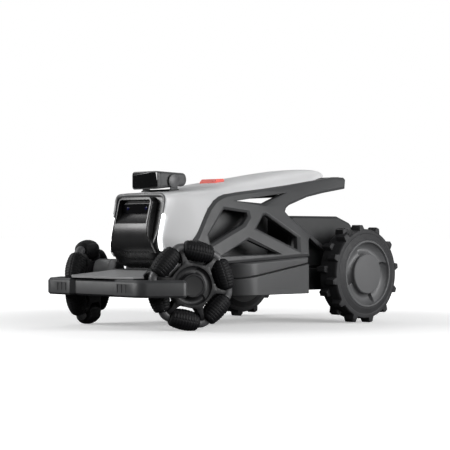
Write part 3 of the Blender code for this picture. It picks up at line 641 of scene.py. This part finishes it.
def omni_plate(first):
    """The hexagonal hub: a flat face, a round recess with swirl steps, rounded rim."""
    top, bottom, apothem = 0.018, -0.018, 0.0464
    ring_r, cap_r = 0.0414, 0.0268
    face_r = ring_r + 0.0009
    around = turns(240)
    radii = np.concatenate([
        np.linspace(0.0, cap_r, 4), np.linspace(cap_r + 0.0006, ring_r - 0.0012, 22),
        [ring_r - 0.0006, ring_r, ring_r + 0.0003, face_r],
    ])
    rings = []
    for r in radii:
        face = top - 0.0026 * smoothstep(ring_r, ring_r - 0.0012, r)
        rings.append([polar(r, a, face - scoop(r, a, cap_r, ring_r - 0.001, 0.0046, 3, first + 1.1))
                      for a in around])
    rim = [(0.92, top), (0.976, top - 0.0003), (1.0, top - 0.0016), (1.0, bottom + 0.0016),
           (0.976, bottom + 0.0003), (0.0, bottom)]
    for share, z in rim:
        rings.append([polar(face_r + (hexagon_edge(a, apothem, first) - face_r) * share, a, z)
                      for a in around])
    rings.append([polar(0.0, a, bottom) for a in around])
    return grid("omni_plate", rings, False, True)


def sleeve(index, first):
    """A bent sleeve at one corner of the axle hexagon, with a collar at each end."""
    middle = first + (index + 0.5) * PITCH
    reach = AXLE_RING_R * tan(PITCH / 2) - 0.0325
    bend = reach / tan(PITCH / 2)
    centre = polar(CORNER_R - bend / cos(PITCH / 2), middle)
    steps = 22
    path, sizes = [], []
    for k in range(steps + 1):
        angle = middle + PITCH * (k / steps - 0.5)
        path.append(centre + polar(bend, angle))
        end = min(k, steps - k)
        sizes.append({0: 0.0094, 1: 0.0104, 2: 0.0107, 3: 0.0104}.get(end, 0.0101))
    return sweep(f"sleeve_{index}", path, lambda i: ellipse(sizes[i], sizes[i], 28), (0, 0, 1))


def cheek(index, way, first):
    """One arm of a fork that holds a sleeve on the hub's corner."""
    middle = first + (index + 0.5) * PITCH
    stations = [(0.044, 0.01, 0.007, 0.0172), (0.054, 0.0066, 0.0085, 0.0168),
                (0.064, 0.0045, 0.01, 0.0158), (0.071, 0.0046, 0.009, 0.0138),
                (0.0765, 0.004, 0.004, 0.0098)]
    loops = []
    for radius, half, low, high in stations:
        outline = rounded([(-half, low), (half, low), (half, high), (-half, high)], 0.0016, 3)
        loops.append([Vector((radius, y, way * z)) for y, z in outline])
    return moved(loft("cheek", loops), Matrix.Rotation(middle, 4, "Z"))


def pin(index, first):
    """The steel axle of one roller, with a washer at each end."""
    end = [(0.0, 0.0345), (0.0027, 0.0345), (0.0027, 0.0325), (0.0062, 0.0325), (0.0062, 0.0318),
           (0.0027, 0.0318)]
    made = lathe("pin", end + [(r, -h) for r, h in reversed(end)], 20)
    moved(made, Matrix.Rotation(-pi / 2, 4, "X"))
    moved(made, Matrix.Translation((AXLE_RING_R, 0, 0)))
    return moved(made, Matrix.Rotation(first + index * PITCH, 4, "Z"))


def hub_cap():
    face = 0.0239
    profile = rounded([(0.0, face - 0.0012), (0.0205, face - 0.0012), (0.0218, face), (0.0238, face),
                       (0.0266, face - 0.0036), (0.0266, 0.0128), (0.0, 0.0128)], 0.0007, 3, False)
    return lathe("hub_cap_left", profile, 120)


def front_hub(side):
    """The hub's plate, forks, sleeves, roller pins and cap on one side."""
    first = FIRST_ROLLER[side]
    forks = [cheek(k, way, first) for k in range(ROLLERS) for way in (-1, 1)]
    shaft = [(0.0, -0.0175), (0.0078, -0.0175), (0.0078, -0.041), (0.0, -0.041)]
    forks.append(lathe("shaft", shaft, 32))
    shapes = [
        (omni_plate(first), "omni_plate", "hub", f"omni_hub_{side}"),
        (joined("forks", forks), "omni_forks", "hub", None),
        (joined("sleeves", [sleeve(k, first) for k in range(ROLLERS)]), "omni_sleeves", "sleeve", None),
        (joined("pins", [pin(k, first) for k in range(ROLLERS)]), "roller_pins", "steel", None),
        (hub_cap(), "hub_cap", "hub", f"omni_hub_cap_{side}"),
    ]
    for shape, name, look, node in shapes:
        shape.name = f"{name}_{side}"
        shaded(moved(shape, SIDES[side] @ FRONT), 45)
        piece(shape, f"front_wheel_{side}", look, node)


def front_motor():
    """The smooth oval housing of a front gear motor, with a seam near its inner end."""
    outline = arc((0.0, 0.025), 0.0275, 0, 180, 36) + arc((0.0, 0.0), 0.024, 180, 360, 28)
    levels = [(-0.0795, 0.003), (-0.0775, 0.0008), (-0.0755, 0.0), (-0.063, 0.0), (-0.0626, 0.0008),
              (-0.0616, 0.0008), (-0.0612, 0.0), (-0.03, 0.0), (-0.0255, 0.0016), (-0.0225, 0.006)]
    return moved(slab("front_motor_cover_left", outline, levels), FRONT)


def axle_shroud():
    """A curved guard in front of and below the front gear motor."""
    outer, inner = 0.0345, 0.0322
    section = arc((0.0, 0.004), outer, 158, 262, 24) + arc((0.0, 0.004), inner, 262, 158, 24)
    stations = [(-0.08, 1.1), (-0.07, 1.05), (-0.055, 1.0), (-0.04, 0.97), (-0.034, 0.95)]
    loops = [[Vector((x * size, y * size, z)) for x, y in section] for z, size in stations]
    return moved(loft("axle_shroud_left", loops), FRONT)


def front_drives():
    for side in SIDES:
        front_hub(side)
    pair(shaded(front_motor(), 35), "chassis", "axle", "front_gear_motor_{s}")
    pair(shaded(axle_shroud(), 50), "chassis", "graphite")


# ---- rear drive wheels
LUGS = 12
LUG_PHASE = radians(8.75)


def tyre_skin():
    """Carcass with a shallow crown, round shoulders and flat sidewalls."""
    half = rounded([(0.1032, 0.0), (0.1026, 0.0215), (0.1008, 0.0262), (0.0935, 0.0268),
                    (0.0915, 0.0262), (0.08, 0.03), (0.0772, 0.03)],
                   [0, 0.006, 0.003, 0.001, 0.001, 0.001, 0], 4, False)
    back = [(r, -h) for r, h in reversed(half)]
    profile = half + [(0.0772, 0.0)] + back[:-1]
    return lathe("tyre", profile, 180, closed=True)


def lug(angle, side):
    """One block lug: wide at its foot, leaning edges, from the middle of the tread to the shoulder."""
    top_r = REAR_R - 0.0001
    taper = 0.86
    stations = ((0.1005, 0.0098, -0.0005, 0.027), (0.103, 0.0092, 0.0002, 0.0268),
                (top_r - 0.0008, 0.0062, 0.0012, 0.0252), (top_r, 0.0055, 0.002, 0.0244))
    loops = []
    for radius, half, low, high in stations:
        corners = [(-half, low), (half, low), (half * taper, high), (-half * taper, high)]
        outline = rounded(corners, 0.0012, 3)
        loops.append([Vector((sqrt(radius**2 - t * t), t, side * z)) for t, z in outline])
    return moved(loft("lug", loops), Matrix.Rotation(angle, 4, "Z"))


def drive_rim():
    """The dished rim: a proud ring, a bowl with swirl steps and the seat of the hub disc."""
    edge_r, bowl_r, seat_r = 0.0771, 0.0705, 0.0462
    steps, step_depth, step_angle = 4, 0.013, radians(28.6)
    around = turns(360)
    radii = np.concatenate([[0.0, 0.03, seat_r - 0.0004], np.linspace(seat_r, bowl_r, 34)])
    rings = []
    for r in radii:
        face = 0.0215 + 0.0075 * smoothstep(seat_r, bowl_r + 0.004, r)
        rings.append([polar(r, a, face - scoop(r, a, seat_r, bowl_r + 0.0015, step_depth, steps, step_angle))
                      for a in around])
    edge = rounded([(bowl_r + 0.001, 0.0296), (0.0725, 0.0314), (0.0755, 0.0314), (edge_r, 0.0296),
                    (edge_r, -0.029), (0.06, -0.029)], [0, 0.0008, 0.0008, 0.0006, 0.001, 0], 3, False)
    for r, z in [*edge, (0.0095, -0.029), (0.0088, -0.054), (0.0, -0.054)]:
        rings.append([polar(r, a, z) for a in around])
    return grid("drive_rim_left", rings, False, True)


def rim_disc():
    face = 0.0303
    profile = rounded([(0.0, face), (0.044, face), (0.0458, face - 0.0018), (0.0458, 0.019), (0.0, 0.019)],
                      [0, 0.0008, 0.0008, 0, 0], 4, False)
    return lathe("rim_disc_left", profile, 160)


def rear_wheels():
    body = "rear_wheel_{s}"
    step = tau / LUGS
    blocks = [lug(LUG_PHASE + k * step, 1) for k in range(LUGS)]
    blocks += [lug(LUG_PHASE + (k + 0.5) * step, -1) for k in range(LUGS)]
    tyre = joined("lugged_tyre_left", [tyre_skin(), *blocks])
    pair(shaded(moved(tyre, REAR), 35), body, "tyre", "drive_tyre_{s}")
    pair(shaded(moved(drive_rim(), REAR), 50), body, "rim", "drive_rim_{s}")
    pair(shaded(moved(rim_disc(), REAR)), body, "rim", "hub_disc_{s}")


# ---- hood
HOOD_FRONT, HOOD_END = -0.2385, 0.287
HOOD_TAIL = 0.19
hood_crest = through([(-0.245, 0.2925), (-0.216, 0.295), (-0.13, 0.3035), (-0.068, 0.312),
                      (-0.033, 0.319), (0.043, 0.33), (0.1, 0.339), (0.173, 0.35),
                      (0.22, 0.3555), (0.25, 0.357), (0.27, 0.3535), (0.287, 0.345)])
hood_width = through([(-0.245, 0.083), (-0.155, 0.113), (-0.11, 0.1085), (-0.05, 0.1075),
                      (0.06, 0.1075), (0.19, 0.1005)])
hood_edge = through([(-0.245, 0.15), (-0.232, 0.156), (-0.212, 0.174), (-0.197, 0.1895),
                     (-0.18, 0.215), (-0.164, 0.2378), (-0.15, 0.256), (-0.13, 0.2735),
                     (-0.113, 0.2825), (-0.095, 0.288), (-0.054, 0.294), (0.028, 0.3035),
                     (0.1, 0.3125), (0.218, 0.329), (0.287, 0.335)])
RIM_HALF, RIM_CORNER = 0.085, 0.016
rim_bulge = through([(0.15, 0.013), (0.168, 0.006), (0.184, 0.0016), (0.195, 0.0008), (0.21, 0.0036),
                     (0.24, 0.0108), (0.27, 0.0172), (0.285, 0.0188), (0.294, 0.019)])


def frame_surface(y, z):
    """Distance of a side frame's outer face from the mid-plane."""
    foot = 0.19 + 0.143 * (min(y, 0.0837) - 0.0837)
    lean = min(max((z - 0.17) / 0.14, -0.3), 1.1)
    return foot + (0.125 - foot) * lean


def ease_out(y, length):
    """Rises from 0 at the hood's front rim to 1 over a length, levelling off towards its end."""
    share = min(max((y - HOOD_FRONT) / length, 0.0), 1.0)
    return 1.0 - (1.0 - share) ** 2


def arch_line(y, count):
    """Half of a section near the front rim: a nearly flat top, a rounded corner and a tall side."""
    crest, edge = hood_crest(y), hood_edge(y)
    foot = RIM_HALF + (frame_surface(y, edge) - 0.005 - RIM_HALF) * ease_out(y, 0.062)
    shoulder = RIM_HALF + (hood_width(y) - RIM_HALF) * ease_out(y, 0.13)
    corner = RIM_CORNER + 0.3 * max(0.0, y + 0.225)
    corners = [(0.0, crest), (shoulder * 0.5, crest - 0.0006), (shoulder, crest - 0.0035), (foot, edge)]
    line = rounded(corners, [0, 0.03, corner, 0], 10, closed=False)
    return evenly([(x, 0.0, z) for x, z in line], count)


def dome_line(y, count):
    """Half of a section further back: a shallow arch that ends at the side frame."""
    crest, edge, width = hood_crest(y), hood_edge(y), hood_width(y)
    foot = frame_surface(y, edge) - 0.005
    if y > HOOD_TAIL:
        share = (y - HOOD_TAIL) / (HOOD_END - HOOD_TAIL)
        width *= max(sqrt(1.0 - share**4), 0.3)
        foot += (width - foot) * smoothstep(HOOD_TAIL, HOOD_TAIL + 0.05, y)
        edge += (crest - edge) * 0.3 * share
    line = []
    for k in range(121):
        angle = pi / 2 * k / 120 * 0.999
        drop = 1.0 - cos(angle) ** 0.69
        x = (width + (foot - width) * drop**2) * sin(angle) ** 0.69
        line.append((x, 0.0, crest - (crest - edge) * drop))
    return evenly(line, count)


def hood_section(y, count):
    """A whole section of the hood at a station y, from the right edge over the crest to the left."""
    mix = smoothstep(-0.205, -0.09, y)
    half = [a.lerp(b, mix) for a, b in zip(arch_line(y, count), dome_line(y, count))]
    lean = smoothstep(-0.16, HOOD_FRONT, y)
    line = []
    for point in half:
        line.append(Vector((point.x, y + (rim_bulge(point.z) - 0.0085) * lean, point.z)))
    return [Vector((-v.x, v.y, v.z)) for v in reversed(line[1:])] + line


def hood():
    """The silver shell, open for the stop button."""
    stations = 150
    sections = []
    for i in range(stations):
        share = i / (stations - 1)
        y = HOOD_FRONT + (HOOD_END - HOOD_FRONT) * (0.4 * share + 0.3 * (1 - cos(pi * share)))
        sections.append(hood_section(y, 81))
    skin = grid("silver_hood", sections)
    up = max(skin.data.polygons, key=lambda polygon: polygon.center.z).normal.z > 0
    modify(skin, "SOLIDIFY", thickness=0.0026, offset=-1.0 if up else 1.0)
    applied(skin)
    low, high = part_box("stop_button")
    gap = 0.0011
    hole = block("hole", (low[0] - gap, low[1] - gap, 0.29), (high[0] + gap, high[1] + gap, 0.36))
    cut(skin, hole)
    bevel(skin, 0.0007, 50)
    piece(shaded(skin, 45), "chassis", "silver", "hood_shell")


def rim_path(low, high, count=120):
    """The front rim of the hood, from the left foot (0) over the crest to the right foot (1)."""
    fine = evenly(hood_section(HOOD_FRONT, 201)[::-1], 801)
    return evenly(fine[round(800 * low):round(800 * high) + 1], count)


def hood_liner():
    """The dark inner lining that shows through the slim opening of a side frame."""
    loops = []
    for k in range(9):
        y = -0.05 + 0.25 * k / 8
        low = 0.287 + 0.05 * (y - 0.098)
        loops.append(upright(rectangle(0.086, low, low + 0.006, 0.001, 2), y))
    piece(shaded(loft("hood_liner", loops)), "chassis", "charcoal")


def rim_trims():
    """The grey roll round the nose, the bright lip outside it and the two light strips."""
    inner = [point + Vector((0, -0.001, 0)) for point in rim_path(0.205, 0.795)]
    drawn = []
    for point in inner:
        inward = Vector((-point.x, 0.0, 0.225 - point.z)).normalized()
        drawn.append(point + inward * 0.0042)
    roll = sweep("nose_roll", drawn, ellipse(0.0046, 0.0034), (0, 1, 0))
    piece(shaded(roll), "chassis", "trim")
    lip = sweep("hood_lip", inner, ellipse(0.0011, 0.0011, 12), (0, 1, 0))
    piece(shaded(lip), "chassis", "lip")
    count = 60
    strip = [point + Vector((0.0, -0.0014, 0.0)) for point in rim_path(0.035, 0.222, count)]
    shares = [2 * k / (count - 1) - 1 for k in range(count)]
    sizes = [0.0034 * sqrt(max(0.05, 1 - share**24)) for share in shares]
    made = sweep("light_line_left", strip, lambda i: ellipse(1.3 * sizes[i], sizes[i], 18), (0, 1, 0))
    pair(shaded(made), "chassis", "light", "light_strip_{s}")


# ---- nose
panel_front = through([(0.129, -0.222), (0.133, -0.233), (0.148, -0.245), (0.17, -0.256),
                       (0.195, -0.2603), (0.215, -0.26), (0.245, -0.2535), (0.283, -0.244)])
panel_half = through([(0.16, 0.0745), (0.172, 0.072), (0.186, 0.0675), (0.198, 0.06),
                      (0.21, 0.0585), (0.283, 0.0585)])
surround_front = through([(0.129, -0.2225), (0.133, -0.233), (0.148, -0.2462), (0.16, -0.253),
                          (0.17, -0.255), (0.182, -0.2535), (0.195, -0.249), (0.215, -0.243),
                          (0.245, -0.236), (0.2885, -0.227)])
surround_half = through([(0.129, 0.046), (0.133, 0.058), (0.148, 0.072), (0.165, 0.0775),
                         (0.185, 0.0785), (0.215, 0.0782), (0.2885, 0.079)])
surround_round = through([(0.129, 0.018), (0.15, 0.024), (0.175, 0.018), (0.2, 0.008),
                          (0.2885, 0.0045)])
NOSE_BACK = -0.207


def nose_heights(low, high, corner, count):
    """Heights that are even up to the rounded top corners and follow an arc there."""
    even = [low + (high - corner - low) * k / count for k in range(count)]
    turn = [high - corner + corner * sin(pi / 2 * k / 14) for k in range(15)]
    return even + turn


def nose_solid(name, low, high, corner, half, front, radius):
    """A loft of level sections, with the upper corners rounded as seen from the front."""
    loops = []
    for z in nose_heights(low, high, corner, 70):
        rise = max(0.0, z - (high - corner))
        width = half(z) - (corner - sqrt(max(corner * corner - rise * rise, 0.0)))
        outline = [(-width, NOSE_BACK), (width, NOSE_BACK), (width, front(z)), (-width, front(z))]
        loops.append(level(rounded(outline, [0.0005, 0.0005, radius(z), radius(z)], 8), z))
    return loft(name, loops)


def window_cutter():
    """The deep window: a rounded opening whose floor slopes down to the front."""
    glass_y, sill_z, slope = -0.239, 0.248, 1.13
    half, top = 0.0522, 0.2784
    loops = []
    for y in (-0.29, glass_y, -0.2342):
        floor_z = sill_z + slope * (min(y, glass_y) - glass_y)
        corners = [(-half, floor_z), (half, floor_z), (half, top), (-half, top)]
        loops.append(upright(rounded(corners, [0.0012, 0.0012, 0.0065, 0.0065], 6), y))
    return loft("window_cutter", loops)


def nose():
    """The dark surround and the panel that stands out of it, cut by one window, over a neck."""
    surround = nose_solid("nose_surround", 0.129, 0.2885, 0.016, surround_half, surround_front,
                          surround_round)
    panel = nose_solid("nose_panel", 0.163, 0.2835, 0.013, panel_half, panel_front,
                       lambda z: 0.0034)
    cut(surround, window_cutter())
    cut(panel, window_cutter())
    bevel(panel, 0.0009, 40)
    neck = block("nose_neck", (-0.06, -0.222, 0.108), (0.06, -0.2, 0.136), 0.002)
    piece(shaded(neck), "chassis", "charcoal")
    piece(shaded(surround, 45), "chassis", "nose")
    piece(shaded(panel, 45), "chassis", "panel", "fascia")


# ---- top camera
def camera_body():
    """A box with soft edges, a seam behind its front frame and a rounded back."""
    low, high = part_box("camera_housing")
    half, front, rear = high[0], low[1], high[1]
    floor_z = through([(front, low[2]), (rear - 0.0107, low[2] + 0.0075), (rear, low[2] + 0.008)])
    roof_z = through([(front, high[2]), (rear - 0.0107, high[2] - 0.0025), (rear, high[2] - 0.0028)])
    bend = 0.013
    stations = [(front, 0.0009), (front + 0.0003, 0.0003), (front + 0.001, 0.0)]
    stations += [(front + 0.0064, 0.0), (front + 0.0067, 0.0006), (front + 0.0076, 0.0006),
                 (front + 0.0079, 0.0), (front + 0.03, 0.0), (rear - bend, 0.0)]
    for k in range(1, 13):
        a = pi / 2 * k / 12
        stations.append((rear - bend + bend * sin(a), bend * (1 - cos(a)) * 0.93))
    loops = []
    for y, draw in stations:
        outline = rectangle(half - draw * 0.7, floor_z(y) + draw, roof_z(y) - draw, 0.0082 + 0.4 * draw, 7)
        loops.append(upright(outline, y))
    piece(shaded(loft("camera_body", loops), 35), "top_camera", "graphite", "camera_housing")


def camera_glass():
    """The glass that fills the camera's front inside a narrow frame."""
    low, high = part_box("camera_housing")
    front, frame = low[1], 0.0024
    loops = []
    for y, draw in ((front + 0.003, 0.0), (front - 0.0001, 0.0), (front - 0.0004, 0.0004)):
        edge = frame + draw
        loops.append(upright(rectangle(high[0] - edge, low[2] + edge, high[2] - edge, 0.0062, 7), y))
    piece(shaded(loft("camera_glass", loops), 30), "top_camera", "camera_glass", "camera_window")


def camera_mount():
    """The saddle on the hood, its two necks and cheeks, and a disc on each cheek."""
    pivot = joint_point("camera_tilt")
    low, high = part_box("camera_yoke")
    half, disc_r = high[0], 0.0159
    inner = half - 0.004
    loops = []
    for k in range(13):
        y = low[1] + (high[1] - low[1]) * (0.1 + 0.8 * k / 12)
        crest = hood_crest(y)
        outline = rounded([(-half, crest - 0.001), (half, crest - 0.001), (half - 0.002, crest + 0.0024),
                           (-half + 0.002, crest + 0.0024)], 0.0006, 2)
        loops.append(upright(outline, y))
    shapes = [loft("saddle", loops)]
    turn = Matrix.Rotation(pi / 2, 4, "Y")
    for way in (-1, 1):
        cheek_low, cheek_high = sorted((way * inner, way * (half - 0.0003)))
        profile = [(0.0, cheek_low), (disc_r - 0.0005, cheek_low), (disc_r, cheek_low + 0.0005),
                   (disc_r, cheek_high - 0.0005), (disc_r - 0.0005, cheek_high), (0.0, cheek_high)]
        shapes.append(moved(lathe("cheek", profile, 72), Matrix.Translation(pivot) @ turn))
        foot = hood_crest(pivot.y) + 0.001
        shapes.append(block("neck", (cheek_low, pivot.y - 0.01, foot), (cheek_high, pivot.y + 0.01,
                                                                        pivot.z - 0.006)))
    piece(shaded(joined("camera_saddle", shapes)), "chassis", "charcoal", "camera_yoke")
    profile = [(0.0, half - 0.0006), (disc_r - 0.0009, half - 0.0006), (disc_r - 0.0009, half - 0.0003),
               (disc_r - 0.0014, half), (0.0, half)]
    cover = moved(lathe("pivot_cover_left", profile, 72), Matrix.Translation(pivot) @ turn)
    pair(shaded(cover), "chassis", "sleeve")


# ---- bumper
def bumper_outline(front):
    """Half of the bar from its middle to its tip and back, and the mirror image of that."""
    step = 0.01
    corner_centre = (0.14, front + 0.036)
    half = [(0.0, front + step)]
    half += rounded([(0.06, front + step), (0.066, front + step), (0.075, front), (0.082, front)],
                    0.0016, 3, closed=False)
    half += arc(corner_centre, 0.036, -90, -34, 20)
    half += arc((0.203, -0.288), 0.011, -34, 146, 18)
    half += arc(corner_centre, 0.015, -34, -90, 10)
    return half + [(-x, y) for x, y in reversed(half) if x > 0.0]


def bumper():
    """The bar with chamfered edges, slits in its proud blocks and two guide arms."""
    low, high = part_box("bumper")
    front, bottom, top = low[1], low[2], high[2]
    levels = [(bottom, 0.004), (bottom + 0.0034, 0.0006), (bottom + 0.004, 0.0), (top - 0.0064, 0.0),
              (top - 0.0056, 0.0003), (top - 0.0012, 0.004), (top - 0.0003, 0.0047), (top, 0.0054)]
    bar = slab("bumper_bar", bumper_outline(front), levels)
    slots = []
    for way in (-1, 1):
        for slit in range(3):
            x = way * (0.0885 + 0.014 * slit)
            slots.append(block("slit", (x - 0.001, front - 0.01, bottom + 0.0095),
                               (x + 0.001, front + 0.002, top - 0.0095), 0.0004))
    cut(bar, *slots)
    arms = [block("arm", (way * 0.04 - 0.008, front + 0.017, 0.084),
                  (way * 0.04 + 0.008, high[1], 0.096)) for way in (-1, 1)]
    piece(shaded(joined("bumper_bar", [bar, *arms]), 32), "bumper", "bar", "bumper")


# ---- carried-over CAD solids
def carry(node, look, width, angle=28.0):
    """Keeps a CAD solid and softens its edges."""
    obj = NODES[node]
    dress(obj, look)
    shaded(obj, 32.0)
    modify(obj, "WELD", merge_threshold=1e-5)
    if width:
        bevel(obj, width, angle)
    modify(obj, "WEIGHTED_NORMAL", keep_sharp=True)


def carried_pieces():
    """The CAD solids that are shown as they are, first those that come in pairs."""
    for side in SIDES:
        carry(f"side_frame_{side}", "graphite", 0.001)
        carry(f"skirt_upper_{side}", "skirt", 0.001, angle=40.0)
        carry(f"skirt_lower_{side}", "skirt", 0.0012, angle=40.0)
        carry(f"rear_gear_motor_{side}", "motor", 0.0012)
        carry(f"charge_contact_{side}", "brass", 0.0)
        carry(f"vision_lens_{side}", "lens", 0.0004)
    single = {
        "charcoal": ("chassis_tub", "upper_housing", "rear_cover", "lift_carriage", "blade_disc"),
        "steel": ("lift_screw", "blade_1", "blade_2", "blade_3"),
        "graphite": ("tail_crossbar",),
        "deck": ("front_deck_plate",),
        "battery": ("battery_pack",),
        "board": ("control_board",),
        "motor": ("blade_motor",),
        "coral": ("stop_button",),
        "glass": ("vision_bar",),
    }
    for look, nodes in single.items():
        for node in nodes:
            carry(node, look, 0.0006)


# ---- stage, light and camera
CAMERA_TURN = radians(46.85)
CAMERA_PLACE = Vector((2.5549, -2.371, 0.2014))
MIDDLE = Vector((0.0, 0.0, 0.15))
WHITE = (1.0, 1.0, 1.0, 1.0)


def floor():
    """A pale floor that the camera sees as white beyond the shadows; it reflects little light."""
    bpy.ops.mesh.primitive_circle_add(vertices=96, radius=60.0, fill_type="NGON")
    ground = bpy.context.object
    ground.name = "floor"
    shader = Shader("pale_floor")
    reach = shader.add("VectorMath", operation="LENGTH")
    shader.plug(reach, 0, shader.place)
    shader.set(
        Base_Color=shader.between(shader.noise(3.0), (0.86, 0.86, 0.86), (0.88, 0.88, 0.88)),
        Roughness=0.9,
        Specular_IOR_Level=0.0,
        Emission_Color=WHITE,
        Emission_Strength=shader.ranged(reach.outputs["Value"], (0.45, 1.6), (0.35, 1.0)),
    )
    dim = shader.add("BsdfDiffuse")
    shader.plug(dim, "Color", (0.1, 0.1, 0.1, 1.0))
    shader.plug(shader.tree.nodes["Material Output"], "Surface", shader.seen(shader.surface, dim))
    ground.data.materials.append(shader.material)


def softbox(name, place, size, power):
    """A rectangular light aimed at the machine's middle."""
    light = bpy.data.lights.new(name, "AREA")
    light.shape = "RECTANGLE"
    light.size, light.size_y = size
    light.energy = power
    obj = placed(name, light)
    obj.location = place
    obj.rotation_euler = (MIDDLE - Vector(place)).to_track_quat("-Z", "Y").to_euler()
    obj.visible_camera = False


def world():
    """White for the camera; for the object, bright behind it and above, dark round the camera."""
    made = bpy.data.worlds.new("studio")
    bpy.context.scene.world = made
    made.use_nodes = True
    made.node_tree.nodes.clear()
    nodes = Nodes(made.node_tree)
    way = nodes.add("TexCoord").outputs["Generated"]
    depth = nodes.add("VectorMath", operation="DOT_PRODUCT")
    nodes.plug(depth, 0, way)
    nodes.plug(depth, 1, (-sin(CAMERA_TURN), cos(CAMERA_TURN), 0.0))
    height = nodes.add("SeparateXYZ")
    nodes.plug(height, 0, way)
    total = nodes.add("Math", operation="ADD")
    nodes.plug(total, 0, nodes.ranged(depth.outputs["Value"], (-0.2, 0.9), (0.02, 0.12)))
    nodes.plug(total, 1, nodes.ranged(height.outputs["Z"], (0.1, 0.9), (0.0, 0.1)))
    sky = nodes.add("Background")
    nodes.plug(sky, "Color", (0.96, 0.98, 1.0, 1.0))
    nodes.plug(sky, "Strength", total.outputs[0])
    white = nodes.add("Background")
    nodes.plug(white, "Color", WHITE)
    nodes.plug(nodes.add("OutputWorld"), "Surface", nodes.seen(white, sky))


def lights():
    softbox("front_softbox", (-1.7, -2.4, 1.12), (1.9, 1.0), 58.0)
    softbox("side_softbox", (3.0, 1.2, 0.95), (1.9, 1.4), 82.0)
    softbox("rear_softbox", (-1.2, 1.9, 1.9), (1.1, 0.8), 8.0)
    softbox("left_softbox", (-2.1, -0.25, 2.2), (0.8, 1.4), 9.0)
    softbox("fill_softbox", (3.0, -0.9, 1.3), (1.9, 1.2), 24.0)


def camera():
    made = bpy.data.cameras.new("camera")
    made.sensor_width = 36.0
    made.lens = 121.8
    made.shift_y = 0.0222
    obj = placed("camera", made)
    obj.location = CAMERA_PLACE
    obj.rotation_euler = (pi / 2, 0.0, CAMERA_TURN)
    bpy.context.scene.camera = obj


rollers()
front_drives()
rear_wheels()
hood()
hood_liner()
rim_trims()
nose()
camera_body()
camera_glass()
camera_mount()
bumper()
carried_pieces()
floor()
world()
lights()
camera()
bpy.context.scene.view_settings.view_transform = "Standard"
